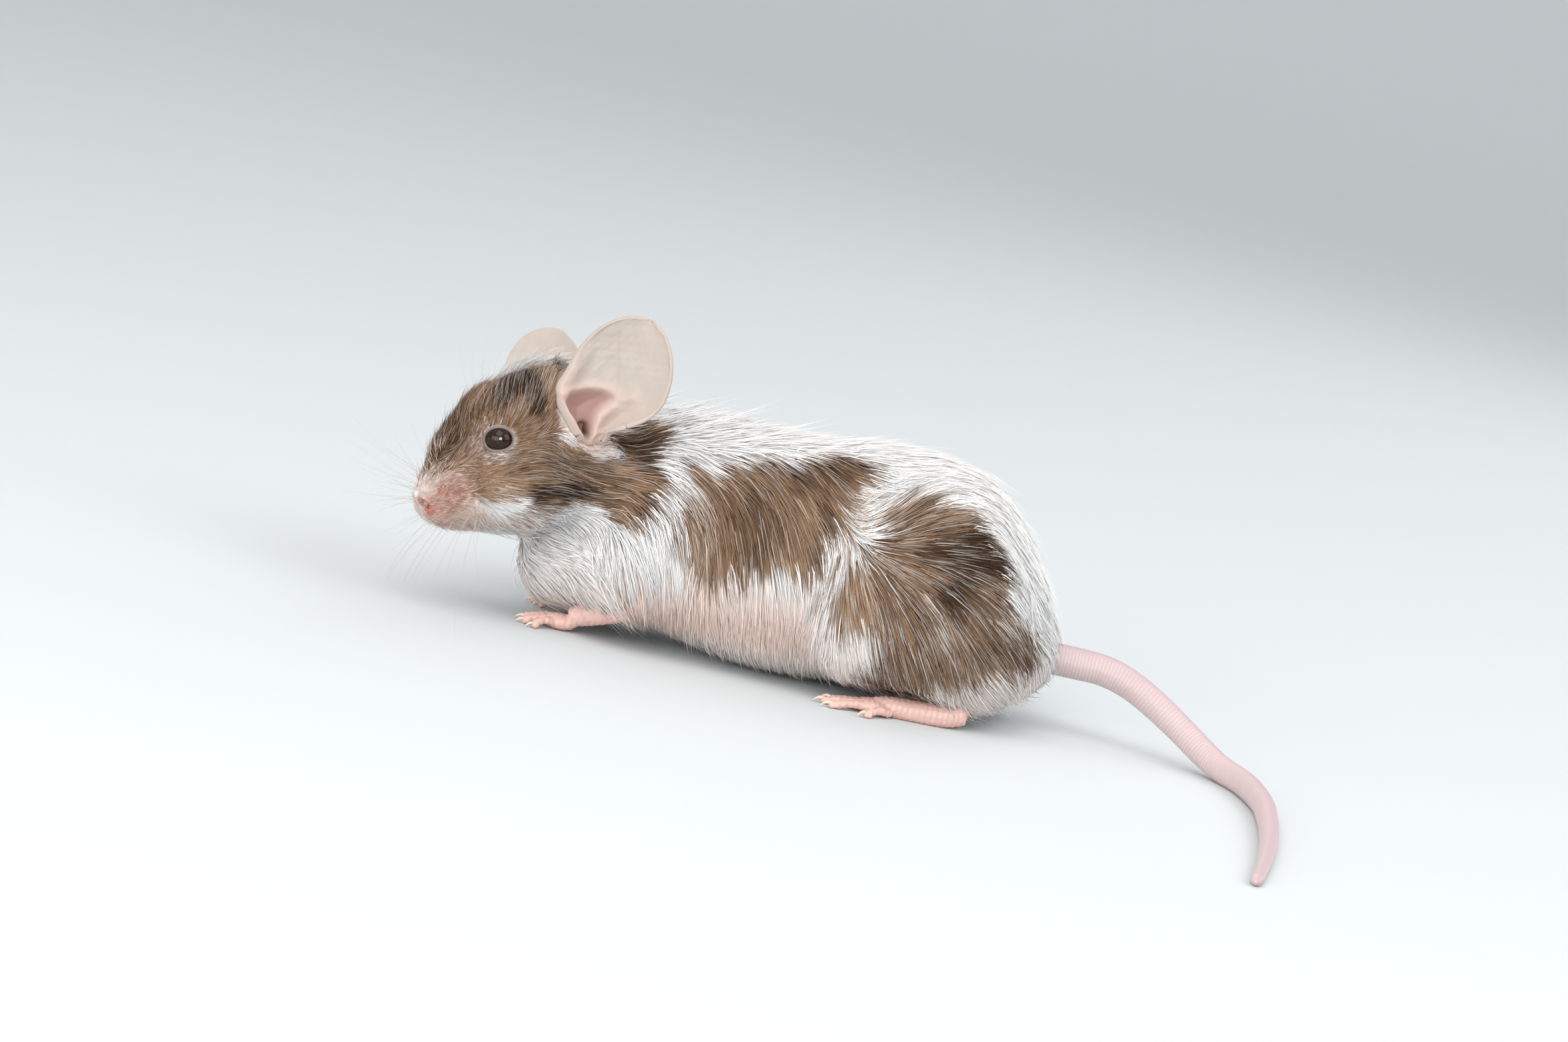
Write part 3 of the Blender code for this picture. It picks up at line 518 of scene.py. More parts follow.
def patch(name, along, around, softness=None):
    """How strongly places lie in a marking on either side of the mouse."""
    outline = np.array(MARKINGS[name], float)
    softness = softness or INK[name][3]
    left = depth_inside(along, around, outline) if name not in RIGHT_ONLY else -9.0
    run, turn, size = OTHER_SIDE.get(name, (0, 0, 1))
    middle = outline.mean(axis=0)
    outline = middle + (outline - middle) * size + (run, turn)
    right = depth_inside(along, -around, outline)
    return smooth_step(0.5 + np.maximum(left, right) / softness)


def ripple(points, length, seed):
    """Smooth uneven values from about -1 to 1, whose hills are about this many millimetres apart."""
    draw = np.random.default_rng(seed)
    total = np.zeros(len(points))
    for _ in range(9):
        wave = unit(draw.normal(size=3)) * 2 * math.pi / (length * draw.uniform(0.7, 1.5))
        total += np.sin(points @ wave + draw.uniform(0, 6.3))
    return total / 3.4


def colours_at(points):
    """The shares of brown, dark and tan at these places."""
    along, around = round_body(points)
    along = along + 0.5 * ripple(points, 3.0, 11)
    around = around + 0.5 * ripple(points, 3.0, 12)
    brown, dark, tan = np.zeros((3, len(points)))
    for name, (browner, darker, tanner, _) in INK.items():
        share = patch(name, along, around)
        brown = brown * (1 + browner * share) if browner < 0 else np.maximum(brown, browner * share)
        dark = np.maximum(dark, darker * share)
        tan = np.maximum(tan, tanner * share)
    return brown, dark * np.minimum(1, brown * 1.3), tan


bpy.ops.object.select_all(action="DESELECT")
for node in FLESH:
    copy = bpy.data.objects.new("skin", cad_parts[node].data.copy())
    bpy.context.scene.collection.objects.link(copy)
    copy.select_set(True)
    bpy.context.view_layer.objects.active = copy
bpy.ops.object.join()
skin = bpy.context.object
bpy.ops.object.mode_set(mode="EDIT")
bpy.ops.mesh.select_all(action="SELECT")
bpy.ops.mesh.remove_doubles(threshold=0.000001)
bpy.ops.object.mode_set(mode="OBJECT")
swell = skin.modifiers.new("fill the gaps", "DISPLACE")
swell.strength = GAP_FILL * MM
swell.mid_level = 0.0
bpy.ops.object.modifier_apply(modifier=swell.name)
plugs = []
for side in SIDES.values():
    bpy.ops.object.select_all(action="DESELECT")
    place = turned(EYE_PLACE * (1, -side, 1)) + SHIFT
    bpy.ops.mesh.primitive_ico_sphere_add(subdivisions=3, radius=2.0 * MM, location=Vector(place * MM))
    plugs.append(bpy.context.object)
for piece in (*plugs, skin):
    piece.select_set(True)
    bpy.context.view_layer.objects.active = piece
bpy.ops.object.join()
for kind, settings in (("REMESH", {"mode": "VOXEL", "voxel_size": SKIN_CELL * MM}),
                       ("SMOOTH", {"factor": 0.6, "iterations": 9})):
    step = skin.modifiers.new(kind.lower(), kind)
    for name, value in settings.items():
        setattr(step, name, value)
    bpy.ops.object.modifier_apply(modifier=step.name)

places = corners(skin.data)
run, length, lift = combed(places)
coat_depth = GAP_FILL + np.clip(0.72 * length * np.sin(np.radians(lift)), 0.12, 1.5)
places -= corner_normals(skin.data) * coat_depth[:, None]
move_corners(skin.data, places)

# Loose fluffy hide hides the seams between the upper arm, the breast and the ribs.
FLUFF_ROUNDS = 60
fluff = skin.vertex_groups.new(name="fluff")
along, height = places[:, 0], places[:, 2]
shoulder = smooth_step((along + 43.4) / 5) * smooth_step((-18.4 - along) / 5)
shoulder *= smooth_step((height - 4.5) / 4) * smooth_step((25 - height) / 5)
breast = smooth_step((along + 52) / 4) * smooth_step((-38 - along) / 4)
breast *= smooth_step((height - 3.5) / 3) * smooth_step((14 - height) / 4)
looseness = np.maximum(shoulder, breast)
for number in np.flatnonzero(looseness > 0.01):
    fluff.add([int(number)], float(looseness[number]), "REPLACE")
step = skin.modifiers.new("loosen", "SMOOTH")
step.vertex_group = fluff.name
step.factor = 0.6
step.iterations = FLUFF_ROUNDS
bpy.ops.object.modifier_apply(modifier=step.name)
skin.vertex_groups.clear()


def refine(piece, chosen):
    """Cuts the faces at the chosen corners finer and evens them out."""
    wanted = {int(i) for i in np.flatnonzero(chosen)}
    touched = [any(i in wanted for i in face.vertices) for face in piece.data.polygons]
    piece.data.polygons.foreach_set("select", touched)
    bpy.ops.object.mode_set(mode="EDIT")
    bpy.context.tool_settings.mesh_select_mode = (False, False, True)
    bpy.ops.mesh.subdivide(number_cuts=1)
    bpy.ops.mesh.vertices_smooth(factor=0.5, repeat=3)
    bpy.ops.object.mode_set(mode="OBJECT")


def near_eyes(points, reach):
    head = unturned(points)
    head[:, 1] = -np.abs(head[:, 1])
    return np.linalg.norm(head - EYE_PLACE, axis=1) < reach


bpy.ops.object.select_all(action="DESELECT")
skin.select_set(True)
bpy.context.view_layer.objects.active = skin
bpy.context.tool_settings.mesh_select_mode = (False, False, True)
bpy.ops.object.mode_set(mode="EDIT")
bpy.ops.mesh.select_all(action="DESELECT")
bpy.ops.object.mode_set(mode="OBJECT")
places = corners(skin.data)
refine(skin, unturned(places)[:, 0] < -50)
places = corners(skin.data)
refine(skin, near_eyes(places, 4.2) | (unturned(places)[:, 0] < -59.5))
places = corners(skin.data)
head = unturned(places)
NOSE = np.array([-65.0, 0.0, 12.8])
refine(skin, near_eyes(places, 2.9) | (np.linalg.norm(head - NOSE, axis=1) < 2.6))

# The face is shaped: lids that close round the ball of the eye, the nose leather with its two
# comma-shaped nostrils and the groove below them, the line of the mouth, and rows of whisker roots on the
# pads.
EYE_RADIUS = 1.85
EYE_AXIS = unit(np.array([-0.33, -0.94, -0.03]))
EYE_LEVEL = unit(np.array([0.91, -0.36, 0.16]) - EYE_AXIS * (np.array([0.91, -0.36, 0.16]) @ EYE_AXIS))
EYE_UP = np.cross(EYE_LEVEL, EYE_AXIS)
OPENING = (1.74, 0.95, 1.13)  # half its width, and its height above and below the middle
LID_STEPS = (0.0, 0.90, 0.975, 1.02, 1.09, 1.20, 1.34, 1.6)
LID_RADII = (1.45, 1.55, 1.80, 1.98, 2.08, 2.02, 2.03, 2.1)


def set_lids(head):
    """Draws the skin in round one eye, and returns how far each place is from the opening's middle."""
    away = head - EYE_PLACE
    aside, rise, out = away @ EYE_LEVEL, away @ EYE_UP, away @ EYE_AXIS
    ring = np.hypot(aside / OPENING[0], rise / np.where(rise > 0, OPENING[1], OPENING[2]))
    ring[out < -0.6] = 9
    target = EYE_PLACE + unit(away) * np.interp(ring, LID_STEPS, LID_RADII)[:, None]
    hold = (1 - smooth_step((ring - 1.15) / 0.75))[:, None]
    return head * (1 - hold) + target * hold, ring


def along_line(head, course, width):
    """How near places are to a line through these points: 1 on it, falling off over its width."""
    best = np.full(len(head), 1e9)
    for a, b in zip(course[:-1], course[1:]):
        a, span = np.array(a, float), np.array(b, float) - a
        share = np.clip((head - a) @ span / (span @ span), 0, 1)
        best = np.minimum(best, np.linalg.norm(head - a - share[:, None] * span, axis=1))
    return np.exp(-(best / width) ** 2)


# Each ear springs from the head as a rolled leaf, so the skin gives way inside its funnel.
EAR_ROOT = np.array([-47.0, -8.0, 23.2])
EAR_BACK = {"left": 12.5, "right": 11.5}
EAR_OUT = {"left": 15.0, "right": 35.0}
EAR_FACING = {"left": 61.0, "right": 85.0}
EAR_LENGTH, EAR_WIDTH, EAR_THICKNESS = 17.2, 13.4, 0.42
EAR_ROLL_TOP, EAR_ROLL_ROOT = 24.0, 104.0
POCKET_DEPTH = 2.4  # how much deeper than the leaf its pocket goes
EAR_NOTCH = 2.6  # how much higher the rear edge starts than the front one


def ear_half_width(v):
    grown = np.sin(math.pi / 2 * np.minimum(1, v / 0.36))
    tip = np.sqrt(np.maximum(0, 1 - np.maximum(0, (v - 0.45) / 0.55) ** 2))
    return EAR_WIDTH / 2 * (0.38 + 0.62 * grown) * np.maximum(tip, 0.04)


def leaf(u, v):
    """Places on the rolled leaf: across it, into its hollow and along it, in millimetres."""
    half = ear_half_width(v)
    roll = np.radians(EAR_ROLL_TOP + (EAR_ROLL_ROOT - EAR_ROLL_TOP) * (1 - v) ** 3)
    radius = half / roll
    angle = roll * u
    front_foot = np.exp(-((v - 0.22) / 0.16) ** 2) * np.maximum(0, -u) ** 2
    rear_foot = np.exp(-((v - 0.24) / 0.16) ** 2) * np.maximum(0, u) ** 2
    rear_notch = EAR_NOTCH * np.exp(-(v / 0.2) ** 2) * np.clip(u + 0.15, 0, 1) ** 1.5
    return np.stack([radius * np.sin(angle) - 1.0 * front_foot - 1.5 * rear_foot,
                     radius * (1 - np.cos(angle)), v * EAR_LENGTH + rear_notch], axis=-1)


def ear_frame(side_name):
    """Unit vectors across an ear, into its hollow and along it, and -1 if it mirrors the left one."""
    side = SIDES[side_name]
    out, facing = math.radians(EAR_OUT[side_name]), math.radians(EAR_FACING[side_name])
    back = math.tan(math.radians(EAR_BACK[side_name]))
    along = unit(np.array([back * math.cos(out), side * math.sin(out), math.cos(out)]))
    open_to = np.array([-math.cos(facing), side * math.sin(facing), 0])
    open_to = unit(open_to - along * (along @ open_to))
    return np.array([np.cross(along, open_to), open_to, along]), -side


def funnel_of(head, side_name):
    """Places in one ear's own frame, with the funnel's radius there and how far they are from its middle."""
    basis, mirror = ear_frame(side_name)
    local = (head - EAR_ROOT * (1, -SIDES[side_name], 1)) @ basis.T * (mirror, 1, 1)
    v = np.clip(local[:, 2] / EAR_LENGTH, 0, 0.5)
    radius = ear_half_width(v) / np.radians(EAR_ROLL_TOP + (EAR_ROLL_ROOT - EAR_ROLL_TOP) * (1 - v) ** 3)
    away = np.hypot(local[:, 0], local[:, 1] - radius)
    behind = smooth_step(((radius - local[:, 1]) / np.maximum(away, 0.1) - 0.15) / 0.4)
    pocket = smooth_step((1.2 - local[:, 0]) / 1.5) * smooth_step((local[:, 2] - 0.2) / 1.2)
    return local, radius + POCKET_DEPTH * behind * pocket, away


def clear_funnel(head, side_name):
    """Presses the skin back behind the floor of one ear's funnel, and tells what lies in the funnel."""
    basis, mirror = ear_frame(side_name)
    root = EAR_ROOT * (1, -SIDES[side_name], 1)
    local, radius, away = funnel_of(head, side_name)
    near = smooth_step((local[:, 2] + 0.4) / 0.6) * (local[:, 2] < 8) * (local[:, 1] < 1.3 * radius)
    held = near * smooth_step((radius - 0.05 - away) / 0.45)
    floor_at = radius - np.sqrt(np.maximum((radius + 1.2) ** 2 - local[:, 0] ** 2, 0))
    local[:, 1] += held * np.minimum(floor_at - local[:, 1], 0)
    return root + local * (mirror, 1, 1) @ basis, near * smooth_step((radius + 0.5 - away) / 0.3)


NOSTRIL = ((-65.75, -1.5, 12.95), (-65.4, -2.15, 12.85), (-65.0, -2.5, 12.5), (-64.65, -2.65, 12.1))
MOUTH = ((-64.5, -0.2, 11.1), (-63.6, -1.3, 10.7), (-62.2, -2.3, 10.55), (-60.6, -2.95, 10.8),
         (-59.3, -3.2, 11.5))
EAR_FOOT = ((-50.4, -7.7, 25.6), (-49.3, -8.1, 23.8), (-47.6, -8.4, 22.3), (-45.4, -8.3, 22.2),
            (-43.8, -7.9, 22.9))
PHILTRUM = ((-66.0, 0, 12.9), (-65.2, 0, 11.9), (-64.4, 0, 11.0))
WHISKER_ROWS = ((15.6, -64.3, 5), (14.8, -64.4, 6), (13.9, -64.2, 6), (13.0, -63.9, 6), (12.1, -63.4, 5))
places = corners(skin.data)
normals = unturned(corner_normals(skin.data) + NECK_PIVOT) - NECK_PIVOT
head = unturned(places)
nostril, red_nose, crease, follicle, funnel, eye_ring = np.zeros((6, len(head)))
eye_ring += 9
whisker_roots = {}
for side_name, side in SIDES.items():
    mirror = np.array([1, -side, 1])
    half = head * mirror
    way = normals * mirror
    here = half[:, 1] <= 0.02
    half, ring = set_lids(half)
    eye_ring[here] = ring[here]
    slit = along_line(half, NOSTRIL[:3], 0.4)
    rim = along_line(half, NOSTRIL, 0.7) - slit
    half += way * (0.22 * rim - 0.55 * slit)[:, None]
    half += way * (1.35 * along_line(half, EAR_FOOT, 1.3))[:, None]
    reddened = along_line(half, NOSTRIL, 0.66)
    lips = along_line(half, MOUTH, 0.2)
    groove = along_line(half, PHILTRUM, 0.16)
    half -= way * (0.42 * lips + 0.2 * groove)[:, None]
    half += way * (0.12 * (along_line(half, MOUTH, 0.8) - lips))[:, None]
    roots = []
    for number, (height, front, count) in enumerate(WHISKER_ROWS):
        for place in range(count):
            spot = np.array([front + 0.92 * place + 0.25 * number, 0, height + 0.05 * place])
            level_with = (np.abs(half[:, 0] - spot[0]) < 0.3) & (np.abs(half[:, 2] - spot[2]) < 0.3)
            over = np.flatnonzero(here & level_with)
            if len(over):
                root = half[over[np.argmin(half[over, 1])]]
                bump = np.exp(-((half - root) ** 2).sum(axis=1) / 0.13 ** 2)
                half += way * (0.05 * bump)[:, None]
                follicle[here] = np.maximum(follicle, bump)[here]
                roots.append((root * mirror, number, place, (way[over[np.argmin(half[over, 1])]] * mirror)))
    whisker_roots[side_name] = roots
    nostril[here] = slit[here]
    red_nose[here] = reddened[here]
    crease[here] = np.maximum(lips, 0.7 * groove)[here]
    head[here] = (half * mirror)[here]
    head, held = clear_funnel(head, side_name)
    funnel = np.maximum(funnel, held)
move_corners(skin.data, turned(head))

# The skin is unwrapped once, on its own shape, and the coat's tufts later take their places on that unwrap.
bpy.ops.object.select_all(action="DESELECT")
skin.select_set(True)
bpy.context.view_layer.objects.active = skin
flat = skin.modifiers.new("even faces", "TRIANGULATE")
flat.min_vertices = 5
bpy.ops.object.modifier_apply(modifier=flat.name)
bpy.ops.object.mode_set(mode="EDIT")
bpy.ops.mesh.select_all(action="SELECT")
bpy.ops.uv.smart_project(angle_limit=math.radians(66), island_margin=0.001)
bpy.ops.object.mode_set(mode="OBJECT")
skin.data.shade_smooth()

# How bare each pink place is, and how soft its edge is in millimetres
BARE = {
    "pad_pink": (0.92, 1.8), "ear_rose": (0.9, 0.8), "jaw_pink": (0.6, 1.8), "ear_bare": (0.68, 1.8),
    "belly_pink": (0.5, 3.0),
}
skin_places = corners(skin.data)
skin_normals = corner_normals(skin.data)
skin_run, skin_length, skin_lift = combed(skin_places)
skin_run = unit(skin_run - skin_normals * (skin_run * skin_normals).sum(axis=1, keepdims=True))
brown, dark, tan = colours_at(skin_places)


def ragged(points):
    """Places round the body with ragged shifts, so that the bare places have uneven edges."""
    along, around = round_body(points)
    return along + 0.45 * ripple(points, 1.6, 13), around + 0.45 * ripple(points, 1.6, 14)


def bareness(points):
    along, around = ragged(points)
    return np.max([much * patch(name, along, around, edge) for name, (much, edge) in BARE.items()], axis=0)


from_leather = np.linalg.norm((unturned(skin_places) - (-65.9, 0, 12.4)) * (1, 0.55, 1.2), axis=1)
leather = 1 - smooth_step((from_leather - 0.5) / 0.7)
bare = np.maximum(bareness(skin_places), 0.7 * leather)
pad = np.maximum(np.maximum(patch("pad_pink", *ragged(skin_places), 2.2), 0.8 * red_nose),
                 patch("ear_rose", *round_body(skin_places), 0.8))
low_on_pad = round_body(skin_places)[1] - 126 * ROUND
pad *= 1 - 0.55 * smooth_step(low_on_pad / 6) * (1 - red_nose)
lid = 1 - smooth_step((eye_ring - 1.08) / 0.2)
paint_corners(skin.data, "markings", brown, dark, tan)
paint_corners(skin.data, "hair", 0.5 + 0.3 * ripple(skin_places, 0.8, 5), 0.35, 0.5)
paint_corners(skin.data, "flesh", np.maximum(bare, lid), nostril, np.maximum(crease, 0.8 * follicle))
paint_corners(skin.data, "lids", lid, pad, red_nose)
paint_corners(skin.data, "funnel", funnel)

# Fur is keratin: each hair is soft and slightly glossy, and a coat of it scatters light. Brown hair is
# banded, so its strands differ in tone, and white hair lets a little of the pink skin through where it is
# thin. Low on the body the white is also painted warmer, as painted light bounced up from below.
WHITE_FUR = ("#E3E3E3", "#F6F7F7", "#FDFEFE")
CREAM_FUR = "#ECD3C7"
BROWN_FUR = ("#463225", "#735944", "#A38366")
DARK_FUR = ("#2B1A0F", "#55402E")
TAN_FUR = ("#8C6A4F", "#BF9F83")
PALE_TIP = "#CDB199"


def mix_colours(tree, share, first, second, blend="MIX"):
    return add_node(tree, "ShaderNodeMix", {0: share, 6: first, 7: second},
                    data_type="RGBA", blend_type=blend).outputs[2]


def fur_colour(tree):
    """The colour of hair from the markings, the strand's own tone and the place along it."""
    marks = add_node(tree, "ShaderNodeAttribute", attribute_name="markings")
    hair = add_node(tree, "ShaderNodeAttribute", attribute_name="hair")
    shares = add_node(tree, "ShaderNodeSeparateColor", {0: marks.outputs["Color"]})
    strand = add_node(tree, "ShaderNodeSeparateColor", {0: hair.outputs["Color"]})
    white_ramp = add_node(tree, "ShaderNodeValToRGB", {0: strand.outputs[0]})
    white_ramp.color_ramp.elements.new(0.5)
    for element, colour in zip(white_ramp.color_ramp.elements, WHITE_FUR):
        element.color = paint(colour)
    # The cream share holds pink skin showing through thin white hair, and low on the body painted bounce
    # light.
    white = mix_colours(tree, strand.outputs[2], white_ramp.outputs[0], paint(CREAM_FUR))
    brown_ramp = add_node(tree, "ShaderNodeValToRGB", {0: strand.outputs[0]})
    brown_ramp.color_ramp.elements.new(0.5)
    for element, colour in zip(brown_ramp.color_ramp.elements, BROWN_FUR):
        element.color = paint(colour)
    dark_tone = mix_colours(tree, strand.outputs[0], paint(DARK_FUR[0]), paint(DARK_FUR[1]))
    tan_tone = mix_colours(tree, strand.outputs[0], paint(TAN_FUR[0]), paint(TAN_FUR[1]))
    colour = mix_colours(tree, shares.outputs[2], brown_ramp.outputs[0], tan_tone)
    tip = add_node(tree, "ShaderNodeMapRange", {0: strand.outputs[1], 1: 0.45, 2: 1.0, 3: 0.0, 4: 0.36})
    colour = mix_colours(tree, tip.outputs[0], colour, paint(PALE_TIP))
    colour = mix_colours(tree, shares.outputs[1], colour, dark_tone)
    return mix_colours(tree, shares.outputs[0], white, colour), strand.outputs[1]


SKIN_PINK, PAD_ROSE, LID_GREY, FUNNEL_MAUVE = "#E6CBC1", "#85483E", "#776E6A", "#A67B73"
NOSE_RED, NOSTRIL_RED_AND_SHADE, CREASE_SHADE_AND_FOLLICLE = "#AE6356", "#5A1D16", "#94605A"
hide, tree = start_material("thin pink hide under short fur")
colour, _ = fur_colour(tree)
flesh = add_node(tree, "ShaderNodeAttribute", attribute_name="flesh")
parts = add_node(tree, "ShaderNodeSeparateColor", {0: flesh.outputs["Color"]})
lids = add_node(tree, "ShaderNodeAttribute", attribute_name="lids")
where = add_node(tree, "ShaderNodeTexCoord")
blotch = add_node(tree, "ShaderNodeTexNoise", {
    "Vector": where.outputs["Object"], "Scale": 700.0, "Detail": 4.0})
pink = mix_colours(tree, blotch.outputs["Fac"], paint(SKIN_PINK), paint("#DBB0A6"))
mottle = add_node(tree, "ShaderNodeTexNoise", {
    "Vector": where.outputs["Object"], "Scale": 1700.0, "Detail": 3.0})
spread_out = add_node(tree, "ShaderNodeMapRange", {0: mottle.outputs["Fac"], 1: 0.35, 2: 0.65})
rose = mix_colours(tree, spread_out.outputs[0], paint(PAD_ROSE), paint("#A87064"))
places_of = add_node(tree, "ShaderNodeSeparateColor", {0: lids.outputs["Color"]})
pink = mix_colours(tree, places_of.outputs[1], pink, rose)
colour = mix_colours(tree, parts.outputs[0], colour, pink)
deep = add_node(tree, "ShaderNodeAttribute", attribute_name="funnel")
inner = add_node(tree, "ShaderNodeSeparateColor", {0: deep.outputs["Color"]})
colour = mix_colours(tree, inner.outputs[0], colour, paint(FUNNEL_MAUVE))
colour = mix_colours(tree, places_of.outputs[0], colour, paint(LID_GREY))
colour = mix_colours(tree, places_of.outputs[2], colour, paint(NOSE_RED))
# The mouth line and the groove below the nose are painted darker as painted shade; the whisker roots take
# the same darker colour as their own spots.
colour = mix_colours(tree, parts.outputs[2], colour, paint(CREASE_SHADE_AND_FOLLICLE))
# The nostril slits are painted dark red: their reddish skin with painted shade of the openings.
colour = mix_colours(tree, parts.outputs[1], colour, paint(NOSTRIL_RED_AND_SHADE))
pores = add_node(tree, "ShaderNodeTexVoronoi", {"Vector": where.outputs["Object"], "Scale": 5000.0})
relief = add_node(tree, "ShaderNodeBump", {
    "Height": pores.outputs["Distance"], "Strength": 0.5, "Distance": 0.00005})
surface = add_node(tree, "ShaderNodeBsdfPrincipled", {
    "Base Color": colour, "Roughness": 0.55, "IOR": 1.45, "Specular IOR Level": 0.35,
    "Subsurface Weight": 0.25, "Subsurface Radius": (1.0, 0.35, 0.2), "Subsurface Scale": 0.0006,
    "Normal": relief.outputs[0]})
add_node(tree, "ShaderNodeOutputMaterial", {"Surface": surface.outputs[0]})
put_material(skin, hide)
skin.name = "skin"
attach(skin, "root")
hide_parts(*FLESH)

# The eyes
# Each is a ball of dark brown, nearly black cornea, wet and very smooth, set into the lids.
BALL_RINGS = 40
wet, tree = start_material("wet dark cornea")
where = add_node(tree, "ShaderNodeTexCoord")
depth = add_node(tree, "ShaderNodeTexNoise", {
    "Vector": where.outputs["Object"], "Scale": 900.0, "Detail": 2.0})
colour = mix_colours(tree, depth.outputs["Fac"], paint("#1C0C07"), paint("#30190F"))
surface = add_node(tree, "ShaderNodeBsdfPrincipled", {
    "Base Color": colour, "Roughness": 0.035, "IOR": 1.38, "Specular IOR Level": 0.5})
add_node(tree, "ShaderNodeOutputMaterial", {"Surface": surface.outputs[0]})
for side_name, side in SIDES.items():
    rings = np.linspace(0, math.pi, BALL_RINGS + 1)[1:-1]
    turns = np.linspace(0, 2 * math.pi, 2 * BALL_RINGS, endpoint=False)
    ring, turn = np.meshgrid(rings, turns, indexing="ij")
    bulge = EYE_RADIUS * (1 + 0.025 * np.exp(-(ring / 0.75) ** 2))
    local = np.stack([bulge * np.sin(ring) * np.cos(turn), bulge * np.sin(ring) * np.sin(turn),
                      bulge * np.cos(ring)], axis=-1).reshape(-1, 3)
    local = np.vstack([local, [(0, 0, EYE_RADIUS * 1.025), (0, 0, -EYE_RADIUS)]])
    head = (EYE_PLACE + local @ np.array([EYE_LEVEL, EYE_UP, EYE_AXIS])) * (1, -side, 1)
    n, rows = 2 * BALL_RINGS, BALL_RINGS - 1
    quads = [(j * n + i, (j + 1) * n + i, (j + 1) * n + (i + 1) % n, j * n + (i + 1) % n)
             for j in range(rows - 1) for i in range(n)]
    caps = [(rows * n, i, (i + 1) % n) for i in range(n)]
    caps += [(rows * n + 1, (rows - 1) * n + (i + 1) % n, (rows - 1) * n + i) for i in range(n)]
    if side > 0:
        quads = [q[::-1] for q in quads]
        caps = [c[::-1] for c in caps]
    eye = new_piece(f"{side_name}_eye", turned(head), quads, caps)
    put_material(eye, wet)
    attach(eye, "root")
    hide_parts(f"eye_{side_name}")

# The ears
# Each is a thin leaf of bare skin over cartilage, rolled into a funnel at its root. Its hollow holds a
# deep pocket under an arched ridge, the ear hole painted dark as painted shade of its depth, and a
# smooth lobe behind it, and veins run up the leaf.
EAR_ACROSS, EAR_ALONG = 110, 130
POCKET = ((-0.88, 0.21), (-0.76, 0.28), (-0.45, 0.36), (-0.22, 0.39), (0.0, 0.38), (-0.12, 0.29),
          (-0.20, 0.19),
          (-0.14, 0.11), (-0.35, 0.06), (-0.75, 0.08), (-0.88, 0.14))
RIDGE = ((-0.98, 0.24), (-0.78, 0.32), (-0.42, 0.40), (-0.12, 0.43), (0.12, 0.42))
LOBE = ((0.36, 0.45), (0.22, 0.39), (0.06, 0.32), (-0.04, 0.23), (-0.02, 0.14), (0.12, 0.06))
HOLE = ((-0.38, 0.105), (-0.33, 0.065))
VEINS = (((0.02, 0.42), (0.0, 0.47), (-0.05, 0.53), (-0.12, 0.58), (-0.16, 0.63), (-0.27, 0.68),
          (-0.34, 0.74),
          (-0.50, 0.79), (-0.62, 0.85)),
         ((-0.05, 0.53), (0.05, 0.57), (0.14, 0.60), (0.20, 0.66), (0.31, 0.71), (0.36, 0.78)),
         ((-0.27, 0.68), (-0.20, 0.73), (-0.17, 0.80), (-0.08, 0.85)))


def to_flat(outline):
    """Ear places as millimetres across and along, for measuring."""
    return [(u * float(ear_half_width(np.array(v))), v * EAR_LENGTH, 0.0) for u, v in outline]


EAR_PINK, EAR_PALE, VEIN_LILAC = "#CBAFA6", "#B8B1A8", "#9F8C88"
POCKET_MAUVE, HOLE_PAINTED_SHADE = "#B08C84", "#57473A"
gristle, tree = start_material("thin ear skin over cartilage")
sheet = add_node(tree, "ShaderNodeAttribute", attribute_name="sheet")
zones = add_node(tree, "ShaderNodeSeparateColor", {0: sheet.outputs["Color"]})
where = add_node(tree, "ShaderNodeTexCoord")
blotch = add_node(tree, "ShaderNodeTexNoise", {
    "Vector": where.outputs["Object"], "Scale": 350.0, "Detail": 5.0})
colour = mix_colours(tree, blotch.outputs["Fac"], paint(EAR_PALE), paint("#B2A69D"))
pinkness = add_node(tree, "ShaderNodeAttribute", attribute_name="blush")
blush = add_node(tree, "ShaderNodeSeparateColor", {0: pinkness.outputs["Color"]})
colour = mix_colours(tree, blush.outputs[0], colour, paint(EAR_PINK))
colour = mix_colours(tree, zones.outputs[2], colour, paint(VEIN_LILAC))
colour = mix_colours(tree, zones.outputs[0], colour, paint(POCKET_MAUVE))
# The ear hole is painted dark, as painted shade of the opening's depth.
colour = mix_colours(tree, zones.outputs[1], colour, paint(HOLE_PAINTED_SHADE))
down = add_node(tree, "ShaderNodeTexNoise", {
    "Vector": where.outputs["Object"], "Scale": 4000.0, "Detail": 2.0})
relief = add_node(tree, "ShaderNodeBump", {
    "Height": down.outputs["Fac"], "Strength": 0.35, "Distance": 0.00005})
surface = add_node(tree, "ShaderNodeBsdfPrincipled", {
    "Base Color": colour, "Roughness": 0.5, "IOR": 1.42, "Specular IOR Level": 0.35,
    "Subsurface Weight": 0.3, "Subsurface Radius": (1.0, 0.5, 0.35), "Subsurface Scale": 0.0009,
    "Sheen Weight": 0.15, "Sheen Roughness": 0.4, "Normal": relief.outputs[0]})
add_node(tree, "ShaderNodeOutputMaterial", {"Surface": surface.outputs[0]})

